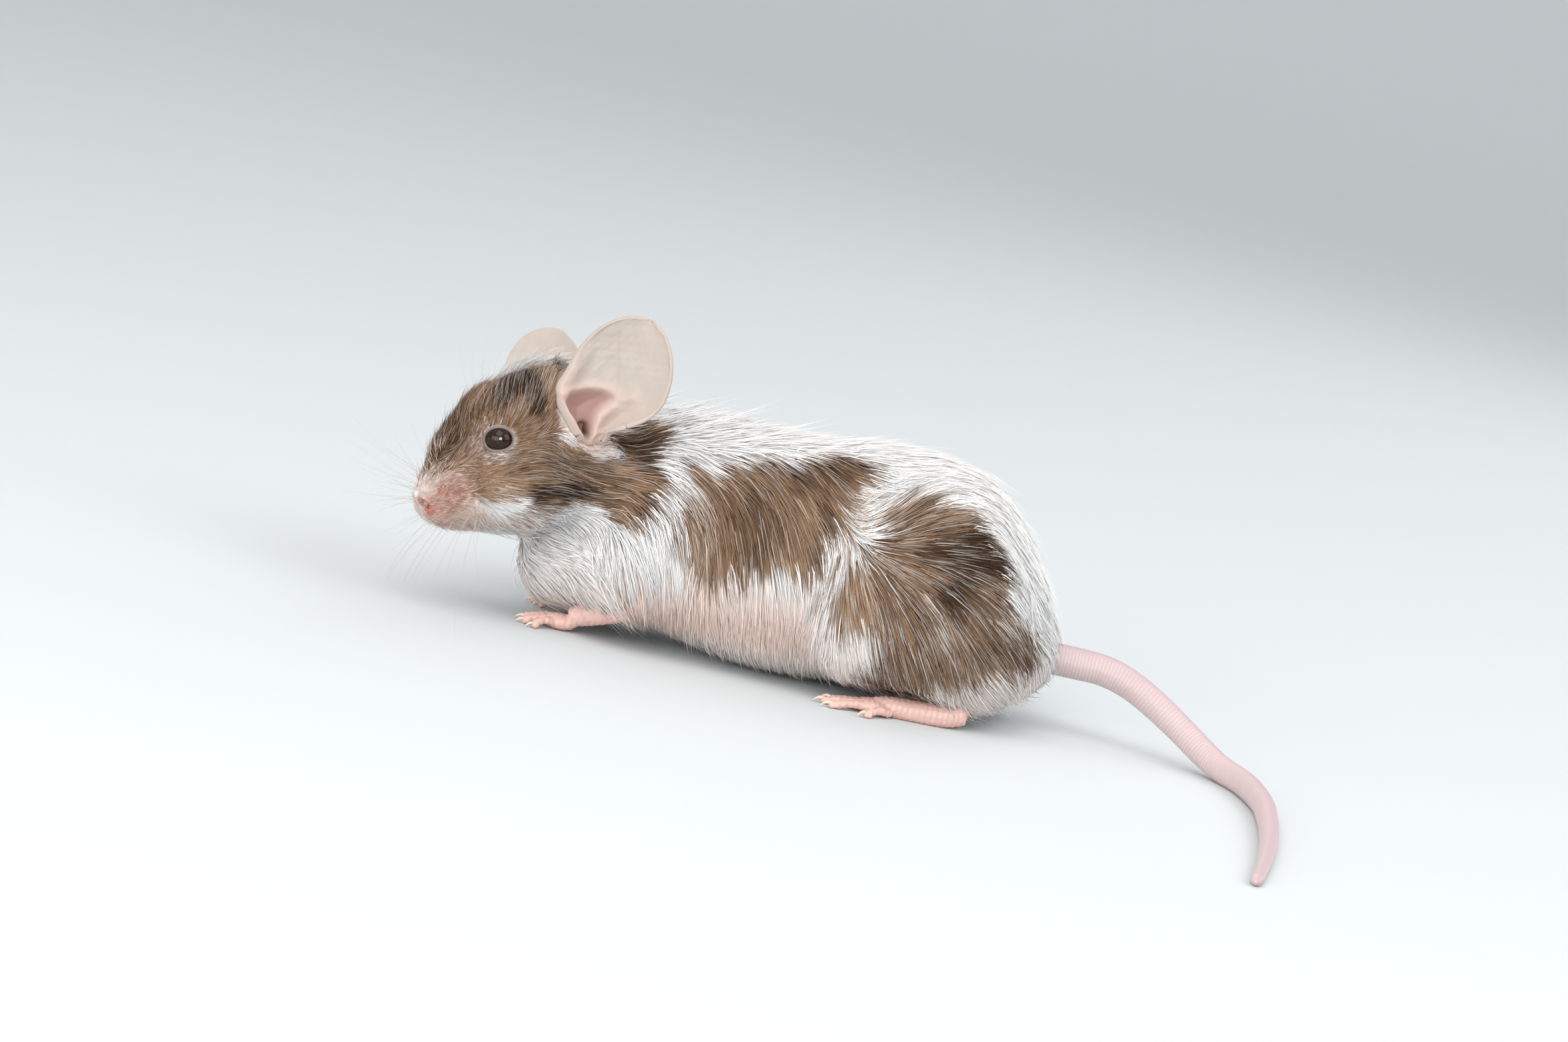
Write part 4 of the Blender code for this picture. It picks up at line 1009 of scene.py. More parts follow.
for side_name, side in SIDES.items():
    basis, mirror = ear_frame(side_name)
    u, v = np.meshgrid(np.linspace(-1, 1, EAR_ACROSS + 1), np.linspace(0, 1, EAR_ALONG + 1) ** 0.9)
    u, v = u.ravel(), v.ravel()
    middle = leaf(u, v)
    step = 1e-3
    side_ways = leaf(np.minimum(u + step, 1.0), v) - leaf(np.minimum(u + step, 1.0) - 2 * step, v)
    upwards = leaf(u, np.minimum(v + step, 0.999)) - leaf(u, np.minimum(v + step, 0.999) - 2 * step)
    hollow = -unit(np.cross(side_ways, upwards))
    hollow[hollow[:, 1] < 0] *= -1
    flat = np.stack([u * ear_half_width(v), v * EAR_LENGTH, np.zeros(len(u))], axis=-1)
    pocket_outline = np.array(to_flat(POCKET))[:, :2] / (1, ROUND)
    inside = depth_inside(flat[:, 0], flat[:, 1], pocket_outline)
    pocket = smooth_step(0.4 + inside / 1.3)
    bowl = smooth_step(inside / 2.2)
    ridge = along_line(flat, to_flat(RIDGE), 0.62)
    lobe = along_line(flat, to_flat(LOBE), 1.0) * (1 - 0.55 * smooth_step((v - 0.2) / 0.2))
    bead = np.exp(-((u + 0.9) / 0.17) ** 2) * (1 - smooth_step((v - 0.42) / 0.3))
    hole = along_line(flat, to_flat(HOLE), 0.42)
    vein = np.max([along_line(flat, to_flat(course), 0.2) * (0.8 if number == 0 else 0.25)
                   for number, course in enumerate(VEINS)], axis=0)
    edge = smooth_step((np.abs(u) - 0.90) / 0.10) * (v < 0.93)
    press = 0.30 * ridge + 1.1 * lobe + 0.8 * bead + 0.04 * vein
    press = press - 0.75 * pocket * (1 - lobe) - 0.7 * bowl - 1.1 * hole
    press += 0.10 * edge + 0.05 * ripple(flat, 2.4, 31) + 0.02 * ripple(flat, 0.9, 32)
    front = middle + hollow * (press + EAR_THICKNESS / 2)[:, None]
    behind = middle + hollow * (np.minimum(press, 0) + 0.3 * ridge + 0.2 * lobe - EAR_THICKNESS / 2)[:, None]
    columns, rows = EAR_ACROSS + 1, EAR_ALONG + 1
    grid = np.arange(columns * rows).reshape(rows, columns)
    rim = np.concatenate([grid[:, 0], grid[-1, 1:], grid[::-1, -1][1:], grid[0, ::-1][1:-1]])
    outwards = unit(middle[rim] - (0, 1.0, 8.0)) * (1, 0, 1)
    border = (front[rim] + behind[rim]) / 2 + unit(outwards) * EAR_THICKNESS * 0.45
    local = np.vstack([front, behind, border])
    shape = turned(EAR_ROOT * (1, -side, 1) + local * (mirror, 1, 1) @ basis)
    base = len(front)
    quads = []
    for j in range(EAR_ALONG):
        a, b = grid[j, :-1], grid[j, 1:]
        c, d = grid[j + 1, 1:], grid[j + 1, :-1]
        quads.append(np.stack([a, b, c, d], axis=1))
        quads.append(np.stack([a, d, c, b], axis=1) + base)
    loop = np.arange(len(rim)) + 2 * base
    after = np.roll(np.arange(len(rim)), -1)
    quads.append(np.stack([rim, loop, loop[after], rim[after]], axis=1))
    quads.append(np.stack([rim[after] + base, loop[after], loop, rim + base], axis=1))
    ear = new_piece(f"{side_name}_ear", shape, np.vstack(quads))
    bpy.ops.object.select_all(action="DESELECT")
    ear.select_set(True)
    bpy.context.view_layer.objects.active = ear
    bpy.ops.object.mode_set(mode="EDIT")
    bpy.ops.mesh.select_all(action="SELECT")
    bpy.ops.mesh.normals_make_consistent(inside=False)
    bpy.ops.object.mode_set(mode="OBJECT")
    zero = np.zeros(len(front))
    rim_zero = np.zeros(len(rim))
    redder = np.clip(1.0 - v / 0.55, 0, 1) * 0.6 + 0.5 * lobe + 0.3 * ridge + 0.3 * bead
    paint_corners(ear.data, "sheet",
                  np.concatenate([np.clip(pocket * (1 - 0.9 * lobe), 0, 1) * 0.9, zero, rim_zero]),
                  np.concatenate([np.clip(hole * 1.1, 0, 1), zero, rim_zero]),
                  np.concatenate([0.2 * vein, 0.12 * vein, rim_zero]))
    paint_corners(ear.data, "blush", np.concatenate([np.clip(redder, 0, 1), np.clip(redder, 0, 1) * 0.5,
                                                     rim_zero + 0.15]))
    put_material(ear, gristle)
    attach(ear, "root")
    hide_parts(f"ear_{side_name}")

# The paws and feet
# Bare pink skin over thin bones: a forepaw has four fingers and a hind foot five toes, each with
# knuckles, a round pad below its end and a small curved claw of clear horn. The wrists and heels run up
# into the coat.
LIMB_CELL = 0.15
END_CAP = 0.4  # how far a tube's rounded end stands out, in its own radius
FOREPAW_WRIST = np.array([-40.6, -6.2, 1.9])
FOREPAW_HEADING = 8.0
FOREARM = (
    (-32.0, -9.4, 8.6, 3.0), (-34.0, -9.0, 6.4, 2.6), (-37.6, -7.6, 3.7, 1.75), (-40.9, -6.3, 2.0, 1.3))
HINDFOOT_HEEL = np.array([8.6, -11.4, 1.25])
HINDFOOT_HEADING = 9.0


def ringed_tube(course, sides):
    """A closed tapering tube along rows of x, y, z and radius: its corners, quads and triangles."""
    course = np.asarray(course, float)
    middle, radius = course[:, :3], course[:, 3]
    run = unit(np.gradient(middle, axis=0))
    first = np.cross(run[0], (0, 0, 1.0))
    if np.linalg.norm(first) < 0.1:
        first = np.cross(run[0], (0, 1.0, 0))
    side = unit(first)
    points = []
    for row in range(len(course)):
        side = unit(side - run[row] * (side @ run[row]))
        rise = np.cross(side, run[row])
        turn = np.linspace(0, 2 * math.pi, sides, endpoint=False)[:, None]
        points.append(middle[row] + radius[row] * (np.cos(turn) * side + np.sin(turn) * rise))
    front_tip = middle[0] - run[0] * radius[0] * END_CAP
    rear_tip = middle[-1] + run[-1] * radius[-1] * END_CAP
    points = np.vstack([*points, front_tip, rear_tip])
    i = np.arange(sides)
    after = (i + 1) % sides
    starts = np.arange(len(course) - 1) * sides
    quads = np.vstack([
        np.stack([s + i, s + sides + i, s + sides + after, s + after], axis=1) for s in starts])
    last = (len(course) - 1) * sides
    triangles = np.vstack([np.stack([np.full(sides, len(points) - 2), i, after], axis=1),
                           np.stack([np.full(sides, len(points) - 1), last + after, last + i], axis=1)])
    return points, quads, triangles


def smooth_course(rows, count):
    """Points evenly placed on a smooth curve through these rows."""
    rows = np.asarray(rows, float)
    ends = np.vstack([2 * rows[0] - rows[1], rows, 2 * rows[-1] - rows[-2]])
    fine = []
    for p0, p1, p2, p3 in zip(ends, ends[1:], ends[2:], ends[3:]):
        for t in np.linspace(0, 1, 24, endpoint=False):
            fine.append(0.5 * (2 * p1 + (p2 - p0) * t + (2 * p0 - 5 * p1 + 4 * p2 - p3) * t * t
                               + (3 * p1 - p0 - 3 * p2 + p3) * t ** 3))
    fine = np.array([*fine, rows[-1]])
    walked = np.concatenate([[0], np.cumsum(np.linalg.norm(np.diff(fine[:, :3], axis=0), axis=1))])
    even = np.linspace(0, walked[-1], count)
    return np.stack([np.interp(even, walked, fine[:, k]) for k in range(rows.shape[1])], axis=1)


def digit_course(root, heading, reach, radius, arch):
    turn = math.radians(heading)
    rows = []
    for t, rise, thick in ((-0.25, 0.3, 1.0), (0.0, 0.6, 0.95), (0.22, 1.0, 1.06), (0.45, 0.85, 0.86),
                           (0.62, 0.55, 0.95), (0.80, 0.05, 0.98), (0.93, -0.2, 0.9)):
        rows.append((root[0] - reach * t * math.cos(turn), root[1] + reach * t * math.sin(turn),
                     max(root[2] + arch * rise, radius * thick * 0.75), radius * thick))
    return rows


def gathered(tubes):
    """Several tubes as one set of corners, quads and triangles."""
    offset, points, quads, triangles = 0, [], [], []
    for tube_points, tube_quads, tube_triangles in tubes:
        points.append(tube_points)
        quads.append(tube_quads + offset)
        triangles.append(tube_triangles + offset)
        offset += len(tube_points)
    return np.vstack(points), np.vstack(quads), np.vstack(triangles)


def bare_limb(name, tubes, ovals, claws, node):
    """Fuses tubes and oval pads into one bare limb with its claws, which stands flat on the floor."""
    bpy.ops.object.select_all(action="DESELECT")
    parts = [new_piece(name, *ringed_tube(smooth_course(rows, 16), 14)) for rows in tubes]
    for place, radii, heading in ovals:
        bpy.ops.mesh.primitive_ico_sphere_add(subdivisions=3, radius=MM)
        oval = bpy.context.object
        oval.data.transform(Matrix.Rotation(math.radians(heading), 4, "Z") @ Matrix.Diagonal((*radii, 1)))
        oval.data.transform(Matrix.Translation(Vector((np.asarray(place) + SHIFT) * MM)))
        parts.append(oval)
    bpy.ops.object.select_all(action="DESELECT")
    for part in reversed(parts):
        part.select_set(True)
        bpy.context.view_layer.objects.active = part
    bpy.ops.object.join()
    limb = bpy.context.object
    limb.name = name
    for kind, settings in (("REMESH", {"mode": "VOXEL", "voxel_size": LIMB_CELL * MM}),
                           ("SMOOTH", {"factor": 0.5, "iterations": 4})):
        step = limb.modifiers.new(kind.lower(), kind)
        for key, value in settings.items():
            setattr(step, key, value)
        bpy.ops.object.modifier_apply(modifier=step.name)
    places = corners(limb.data)
    wrinkle = 0.035 * np.sin(places[:, 0] * 9 + 1.5 * np.sin(places[:, 1] * 3))
    wrinkle = wrinkle + 0.02 * ripple(places, 0.5, 41)
    places += corner_normals(limb.data) * wrinkle[:, None]
    places[:, 2] = np.maximum(places[:, 2], 0.0)
    move_corners(limb.data, places)
    limb.data.shade_smooth()
    nails = []
    for tip, heading, size in claws:
        turn = math.radians(heading)
        ahead = np.array([-math.cos(turn), math.sin(turn), 0])
        rows = [(*(np.asarray(tip) + ahead * size * run + (0, 0, rise * size)), max(radius * size, 0.02))
                for run, rise, radius in ((-0.35, 0.1, 0.16), (0.1, 0.22, 0.24), (0.5, 0.16, 0.18),
                                          (0.85, -0.04, 0.10), (1.1, -0.3, 0.03))]
        rows = [(x, y, max(z, r), r) for x, y, z, r in rows]
        nails.append(ringed_tube(smooth_course(rows, 10), 10))
    horn = new_piece(f"{name}_claws", *gathered(nails))
    along = 1 - smooth_step((places[:, 2] - 3.0) / 3.0)
    paint_corners(limb.data, "pad", np.clip(1 - places[:, 2] / 0.5, 0, 1), along)
    put_material(limb, bare_skin)
    put_material(horn, claw_horn)
    for piece in (limb, horn):
        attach(piece, "root")
    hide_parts(node)


bare_skin, tree = start_material("bare pink skin of paws")
where = add_node(tree, "ShaderNodeTexCoord")
blotch = add_node(tree, "ShaderNodeTexNoise", {
    "Vector": where.outputs["Object"], "Scale": 500.0, "Detail": 4.0})
colour = mix_colours(tree, blotch.outputs["Fac"], paint("#E6C6BC"), paint("#D8AEA4"))
pad = add_node(tree, "ShaderNodeAttribute", attribute_name="pad")
soles = add_node(tree, "ShaderNodeSeparateColor", {0: pad.outputs["Color"]})
colour = mix_colours(tree, soles.outputs[0], colour, paint("#CC9A92"))
cells = add_node(tree, "ShaderNodeTexVoronoi", {"Vector": where.outputs["Object"], "Scale": 3300.0})
relief = add_node(tree, "ShaderNodeBump", {"Height": cells.outputs["Distance"], "Strength": 0.5,
                                           "Distance": 0.00006})
surface = add_node(tree, "ShaderNodeBsdfPrincipled", {
    "Base Color": colour, "Roughness": 0.45, "IOR": 1.42, "Specular IOR Level": 0.4,
    "Subsurface Weight": 0.3, "Subsurface Radius": (1.0, 0.35, 0.2), "Subsurface Scale": 0.0006,
    "Normal": relief.outputs[0]})
add_node(tree, "ShaderNodeOutputMaterial", {"Surface": surface.outputs[0]})
claw_horn, tree = start_material("clear horn of claws")
where = add_node(tree, "ShaderNodeTexCoord")
streak = add_node(tree, "ShaderNodeTexNoise", {"Vector": where.outputs["Object"], "Scale": 2500.0})
colour = mix_colours(tree, streak.outputs["Fac"], paint("#EBDCCB"), paint("#CFAE98"))
surface = add_node(tree, "ShaderNodeBsdfPrincipled", {
    "Base Color": colour, "Roughness": 0.25, "IOR": 1.54, "Coat Weight": 0.3, "Coat Roughness": 0.1})
add_node(tree, "ShaderNodeOutputMaterial", {"Surface": surface.outputs[0]})

for side_name, side in SIDES.items():
    mirror = np.array([1, -side, 1])
    wrist = FOREPAW_WRIST * mirror
    tubes = [[(x, -side * y, z, r) for x, y, z, r in FOREARM]]
    ovals = [(wrist + (-1.8, side * 0.2, -0.85), (2.3, 1.55, 1.05), 0)]
    claws = []
    for number, (fan, reach) in enumerate(((-26.0, 2.8), (-8.0, 3.9), (9.0, 3.8), (28.0, 2.8))):
        spread = side * (1.35 * (number - 1.5) / 1.5)
        root = wrist + (-2.7, spread, -1.2)
        heading = side * (fan + FOREPAW_HEADING)
        tubes.append(digit_course(root, heading, reach, 0.5, 0.42))
        turn = math.radians(heading)
        tip = root + np.array([-reach * math.cos(turn), reach * math.sin(turn), 0]) * 0.96
        claws.append(((tip[0], tip[1], 0.42), heading, 1.0))
        ovals.append(((tip[0] + 0.3, tip[1], 0.34), (0.52, 0.45, 0.36), 0))
    bare_limb(f"{side_name}_forepaw", tubes, ovals, claws, f"forepaw_{side_name}")
    heel = HINDFOOT_HEEL * mirror
    turn = math.radians(HINDFOOT_HEADING)
    forward = np.array([-math.cos(turn), side * math.sin(turn), 0])
    tubes = [[(*(heel + forward * run + (0, 0, rise)), radius) for run, rise, radius in (
        (-0.9, 0.6, 1.2), (1.5, 0.15, 1.5), (5.0, 0.0, 1.45), (8.5, -0.05, 1.35), (10.5, -0.2, 1.1))],
        [(*(heel + (0.4, 0, 0.4)), 1.3), (*(heel + (-1.6, -side * 1.4, 3.4)), 1.6),
         (*(heel + (-4.0, -side * 2.6, 6.0)), 2.2)]]
    ovals = [(heel + forward * 10.6 + (0, 0, -0.3), (2.4, 2.15, 0.95), -side * HINDFOOT_HEADING)]
    claws = []
    toes = ((-30.0, 3.4, 9.0), (-10.0, 5.2, 11.2), (0.0, 5.6, 11.6), (10.0, 5.2, 11.2), (32.0, 3.4, 9.0))
    for number, (fan, reach, start) in enumerate(toes):
        spread = side * (1.75 * (number - 2) / 2)
        root = heel + forward * start + (0, spread, -0.78)
        heading = side * (fan + HINDFOOT_HEADING)
        tubes.append(digit_course(root, heading, reach, 0.54, 0.45))
        turn = math.radians(heading)
        tip = root + np.array([-reach * math.cos(turn), reach * math.sin(turn), 0]) * 0.96
        claws.append(((tip[0], tip[1], 0.46), heading, 1.15))
        ovals.append(((tip[0] + 0.35, tip[1], 0.36), (0.6, 0.5, 0.38), 0))
    bare_limb(f"{side_name}_hindfoot", tubes, ovals, claws, f"hindfoot_{side_name}")

# The tail
# A long bare taper of skin in narrow rings of scales, with darker lines between them and a lilac
# vein along its upper side. It leaves the rump low, comes down to the floor and curves round to the left.
TAIL_COURSE = ((16.5, 0.2), (23.5, 0.4), (31.0, -0.4), (38.6, -3.4), (44.4, -9.6), (46.9, -18.6),
               (47.2, -28.6),
               (46.6, -38.6), (45.4, -48.6), (43.8, -58.4))
TAIL_ROOT_HEIGHT, TAIL_LEVEL, TAIL_DROP = 9.3, 8.0, 22.0
TAIL_ROOT_RADIUS, TAIL_TIP_RADIUS = 2.1, 0.75
TAIL_RINGS, TAIL_SIDES, SCALE_PITCH = 1100, 28, 0.45
flat_course = smooth_course([(x, y, 0.0) for x, y in TAIL_COURSE], TAIL_RINGS)
walked = np.concatenate([[0], np.cumsum(np.linalg.norm(np.diff(flat_course, axis=0), axis=1))])
share = walked / walked[-1]
radius = TAIL_ROOT_RADIUS + (TAIL_TIP_RADIUS - TAIL_ROOT_RADIUS) * share ** 1.15
fallen = np.clip((walked - TAIL_LEVEL) / TAIL_DROP, 0, 1)
rest = radius - 0.08
flat_course[:, 2] = rest + (TAIL_ROOT_HEIGHT - rest) * (1 - smooth_step(fallen))
end = np.sqrt(np.clip((walked[-1] - walked) / 1.2, 0.02, 1))
scale_wave = (walked / SCALE_PITCH) % 1.0
ringed = radius * end * (1 - 0.014 * np.exp(-(np.minimum(scale_wave, 1 - scale_wave) / 0.16) ** 2)
                         + 0.012 * ripple(flat_course, 5.0, 51))
points, quads, triangles = ringed_tube(np.column_stack([flat_course, ringed]), TAIL_SIDES)
points[:, 2] = np.maximum(points[:, 2], 0.0)
tail = new_piece("tail", points, quads, triangles)
around = np.concatenate([np.tile(np.linspace(0, 1, TAIL_SIDES, endpoint=False), TAIL_RINGS), [0, 0]])
above = np.concatenate([np.sin(2 * math.pi * around[:-2]), [0, 0]])
vein = np.exp(-((1 - above) / 0.10) ** 2)
paint_corners(tail.data, "tail", np.concatenate([np.repeat(share, TAIL_SIDES), [0, 1]]), vein,
              np.concatenate([np.repeat(1 - np.exp(-(np.minimum(scale_wave, 1 - scale_wave) / 0.16) ** 2),
                                        TAIL_SIDES), [1, 1]]))
scaly, tree = start_material("bare scaly skin of a tail")
marks = add_node(tree, "ShaderNodeAttribute", attribute_name="tail")
shares = add_node(tree, "ShaderNodeSeparateColor", {0: marks.outputs["Color"]})
where = add_node(tree, "ShaderNodeTexCoord")
blotch = add_node(tree, "ShaderNodeTexNoise", {
    "Vector": where.outputs["Object"], "Scale": 600.0, "Detail": 3.0})
colour = mix_colours(tree, blotch.outputs["Fac"], paint("#D2C2C1"), paint("#C7B2B4"))
colour = mix_colours(tree, shares.outputs[1], colour, paint("#BCA4B0"))
groove = mix_colours(tree, shares.outputs[2], paint("#C3ACAB"), colour)
cells = add_node(tree, "ShaderNodeTexVoronoi", {"Vector": where.outputs["Object"], "Scale": 2600.0})
relief = add_node(tree, "ShaderNodeBump", {"Height": cells.outputs["Distance"], "Strength": 0.4,
                                           "Distance": 0.00008})
surface = add_node(tree, "ShaderNodeBsdfPrincipled", {
    "Base Color": groove, "Roughness": 0.5, "IOR": 1.42, "Specular IOR Level": 0.4,
    "Subsurface Weight": 0.25, "Subsurface Radius": (1.0, 0.4, 0.3), "Subsurface Scale": 0.0006,
    "Normal": relief.outputs[0]})
add_node(tree, "ShaderNodeOutputMaterial", {"Surface": surface.outputs[0]})
put_material(tail, scaly)
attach(tail, "root")
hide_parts("tail_base", "tail_middle", "tail_tip")

# The whiskers
# Long stiff tapering hairs in five rows on each whisker pad, with a few above each eye, nearly clear.
WHISKER_ROOT, WHISKER_TIP = 0.03, 0.008
WHISKER_SIDES = 5
draw = np.random.default_rng(71)
whisker_parts = []
forward_room = -56.5 - 12.5 - SHIFT[0]
for side_name, side in SIDES.items():
    starts = [(root, row, place) for root, row, place, way in whisker_roots[side_name]]
    for root, row, place in starts:
        length = (7.0 + 4.0 * place) * draw.uniform(0.55, 1.2)
        rise = (2 - row) * 0.30 + 0.22 + draw.uniform(-0.2, 0.2)
        way = unit(np.array([-1.0 + 0.13 * place, side * (0.36 + 0.08 * place), rise - 0.14 * place]))
        bend = np.array([0.06 + 0.03 * place, -0.05 * side, 0.06])
        t = np.linspace(0, 1, 11)[:, None]
        line = root - way * 0.3 + (way * t + bend * t ** 2) * length
        placed = turned(line)
        placed[:, 0] = np.maximum(placed[:, 0], forward_room)
        radius = WHISKER_ROOT + (WHISKER_TIP - WHISKER_ROOT) * t[:, 0] ** 0.8
        whisker_parts.append(ringed_tube(np.column_stack([placed, radius]), WHISKER_SIDES))
    for number in range(3):
        root = np.array([-59.5 + 0.7 * number, side * (2.6 + 0.3 * number), 26.2 - 0.2 * number])
        way = unit(np.array([-0.45 + 0.15 * number, side * 0.35, 1.0]))
        t = np.linspace(0, 1, 11)[:, None]
        line = root + way * (9.5 - number) * t + np.array([1.6, 0, -0.3]) * t ** 2
        radius = 0.7 * (WHISKER_ROOT + (WHISKER_TIP - WHISKER_ROOT) * t[:, 0])
        whisker_parts.append(ringed_tube(np.column_stack([turned(line), radius]), WHISKER_SIDES))
whiskers = new_piece("whiskers", *gathered(whisker_parts))
clear_hair, tree = start_material("clear keratin of whiskers")
where = add_node(tree, "ShaderNodeTexCoord")
band = add_node(tree, "ShaderNodeTexNoise", {"Vector": where.outputs["Object"], "Scale": 150.0})
colour = mix_colours(tree, band.outputs["Fac"], paint("#CFC8C1"), paint("#A1988F"))
surface = add_node(tree, "ShaderNodeBsdfPrincipled", {"Base Color": colour, "Roughness": 0.35, "IOR": 1.55})
add_node(tree, "ShaderNodeOutputMaterial", {"Surface": surface.outputs[0]})
put_material(whiskers, clear_hair)
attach(whiskers, "root")

# The coat
# Soft straight to slightly wavy hair, 5 to 6 mm long on the body and collar, 2 to 3 mm on the crown and
# under 2 mm on the face. It is laid in thin tapering tufts that start in the skin, overlap like thatch,
# follow the lie of the coat over every curve and lean together into locks.
TUFTS_OVERLAP = 8.6  # how many tufts lie over one another
TUFT_LIMIT = 70.0  # to a square millimetre, on the shortest fur
LOCK_SPACING = 0.95
SHORT_FUR = 4.6
SWAY_LENGTH = 5.0
# Upright hair is lit through, so it shades as if it faced the light.
FLUFF_LIGHT = np.array([-0.5, -1.6, 2.0])
RINGS_LONG, RINGS_SHORT = 3, 2
PATCH_SIZE = 0.003  # each tuft's place on the skin's unwrap
draw = np.random.default_rng(81)
mesh = skin.data
mesh.calc_loop_triangles()
count = len(mesh.loop_triangles)
face_corners = np.empty(count * 3, np.int32)
face_loops = np.empty(count * 3, np.int32)
mesh.loop_triangles.foreach_get("vertices", face_corners)
mesh.loop_triangles.foreach_get("loops", face_loops)
face_corners, face_loops = face_corners.reshape(-1, 3), face_loops.reshape(-1, 3)
unwrap = np.empty(len(mesh.loops) * 2, np.float32)
mesh.uv_layers.active.data.foreach_get("uv", unwrap)
unwrap = unwrap.reshape(-1, 2)
near_lid = 1 - smooth_step((eye_ring - 1.16) / 0.3)
white_fluff = patch("right_ear_white", *round_body(skin_places)) * (skin_places[:, 1] > -3)
tuft_length = skin_length * (1 - 0.35 * bare) * (1 + 0.6 * white_fluff)
tuft_width = 0.036 + 0.021 * tuft_length
spread = np.minimum(TUFTS_OVERLAP / (tuft_length * tuft_width * 0.55), TUFT_LIMIT)
kept = (1 - leather) * (1 - near_lid) * (1 - 0.8 * bare) * (1 + 0.7 * white_fluff)
kept = kept * (1 - crease) * (1 - red_nose)
spread *= kept
spread *= 1 - funnel
below = smooth_step((-skin_normals[:, 2] - 0.35) / 0.5) * smooth_step((5.0 - skin_places[:, 2]) / 3.0)
spread *= 1 - 0.6 * below
spread *= np.where(skin_places[:, 1] > 3, 0.78, 1.0)
hidden = skin_places[:, 2] < 0.15
spread[hidden] = 0
a, b, c = (skin_places[face_corners[:, k]] for k in range(3))
area = np.linalg.norm(np.cross(b - a, c - a), axis=1) / 2
wanted = area * spread[face_corners].mean(axis=1)
total = int(wanted.sum())
steps = (np.arange(total) + draw.uniform(size=total)) / total * wanted.sum()
face = np.searchsorted(np.cumsum(wanted), steps).clip(0, count - 1)
p, q = draw.uniform(size=(2, total))
flip = p + q > 1
p[flip], q[flip] = 1 - p[flip], 1 - q[flip]
weights = np.stack([1 - p - q, p, q], axis=1)


def across_face(values):
    """Values at the tufts' roots, from the values at the skin's corners."""
    if values.ndim == 1:
        return (values[face_corners[face]] * weights).sum(axis=1)
    return (values[face_corners[face]] * weights[:, :, None]).sum(axis=1)


roots = across_face(skin_places)
root_uv = (unwrap[face_loops[face]] * weights[:, :, None]).sum(axis=1)
length = across_face(tuft_length)
width = across_face(tuft_width)
lift = across_face(skin_lift + 34 * white_fluff)
corner_tree = kdtree.KDTree(len(skin_places))
for number, place in enumerate(skin_places):
    corner_tree.insert(place, number)
corner_tree.balance()


def nearest(points):
    return np.fromiter((corner_tree.find(p)[1] for p in points.tolist()), np.int64, len(points))


sway = np.stack([ripple(skin_places, SWAY_LENGTH, seed) for seed in (61, 62, 63)], axis=1)
swayed = skin_run + 0.13 * sway
swayed = unit(swayed - skin_normals * (swayed * skin_normals).sum(axis=1, keepdims=True))


def lay_along(starts, lengths, turn, stations):
    """Walks from each root over the skin the way the hair runs: the places and the skin's normals."""
    here = starts.copy()
    found = nearest(here)
    normal = skin_normals[found]
    way = swayed[found]
    way = unit(way * np.cos(turn)[:, None] + np.cross(normal, way) * np.sin(turn)[:, None])
    track, ups = [here.copy()], [normal]
    for a, b in zip(stations[:-1], stations[1:]):
        here = here + way * (lengths * (b - a))[:, None]
        found = nearest(here)
        normal = skin_normals[found]
        here = here - normal * ((here - skin_places[found]) * normal).sum(axis=1, keepdims=True)
        way = 0.6 * way + 0.4 * swayed[found]
        way = unit(way - normal * (way * normal).sum(axis=1, keepdims=True))
        track.append(here.copy())
        ups.append(normal)
    return np.stack(track, axis=1), np.stack(ups, axis=1)


STATIONS = np.array([0.0, 0.4, 0.74, 1.0])
strand = draw.uniform(size=total)
turn = draw.normal(size=total) * 0.10
length = length * draw.uniform(0.72, 1.15, total)
on_head = 1 - behind_neck(roots)[:, 0]
straight_roots = straightened(roots)
on_top = smooth_step((straight_roots[:, 2] - 26) / 3) * on_head
on_muzzle = smooth_step((-57.5 - straight_roots[:, 0]) / 3)
on_collar = smooth_step((straight_roots[:, 0] + 52) / 4) * smooth_step((-31 - straight_roots[:, 0]) / 4)
stray = draw.uniform(size=total) < 0.03 + 0.03 * on_head
length[stray] *= 1.2
track, ups = lay_along(roots, length, turn, STATIONS)
chosen_by = draw.uniform(size=total)
in_a_lock = across_face(spread) * LOCK_SPACING ** 2 * np.clip(length / 5, 0.25, 1) ** 2
lock_rows = np.flatnonzero(chosen_by < np.clip(1.0 / np.maximum(in_a_lock, 1.5), 0, 1))
lock_tree = kdtree.KDTree(len(lock_rows))
for number, row in enumerate(lock_rows):
    lock_tree.insert(roots[row], number)
lock_tree.balance()
lock = lock_rows[np.fromiter((lock_tree.find(p)[1] for p in roots.tolist()), np.int64, total)]
gather = np.where(stray, 0.1, np.clip(0.12 + 0.03 * length, 0, 0.3) * (1 + 0.5 * on_collar))
lock_tone = draw.uniform(size=total)[lock]
lock_lift = draw.normal(size=total)[lock]
rise = length * np.sin(np.radians(lift * np.where(stray, 1.9, 1.0))) * (1 + 0.14 * lock_lift)
rise *= 1 - 0.28 * on_top * (1 - across_face(white_fluff)) * (1 - stray)
layer = draw.uniform(0.4, 1.1, total)
for number, t in enumerate(STATIONS):
    pull = (gather * t ** 1.2)[:, None]
    track[:, number] = track[:, number] * (1 - pull) + track[lock, number] * pull
    height = rise * layer * (t - 0.28 * t * t)
    track[:, number] += ups[:, number] * height[:, None]
wave = (0.05 + 0.05 * on_collar) * length * np.sin(2.2 * lock_lift + 1.3)
run = unit(np.gradient(track, axis=1))
aside = unit(np.cross(run, ups))
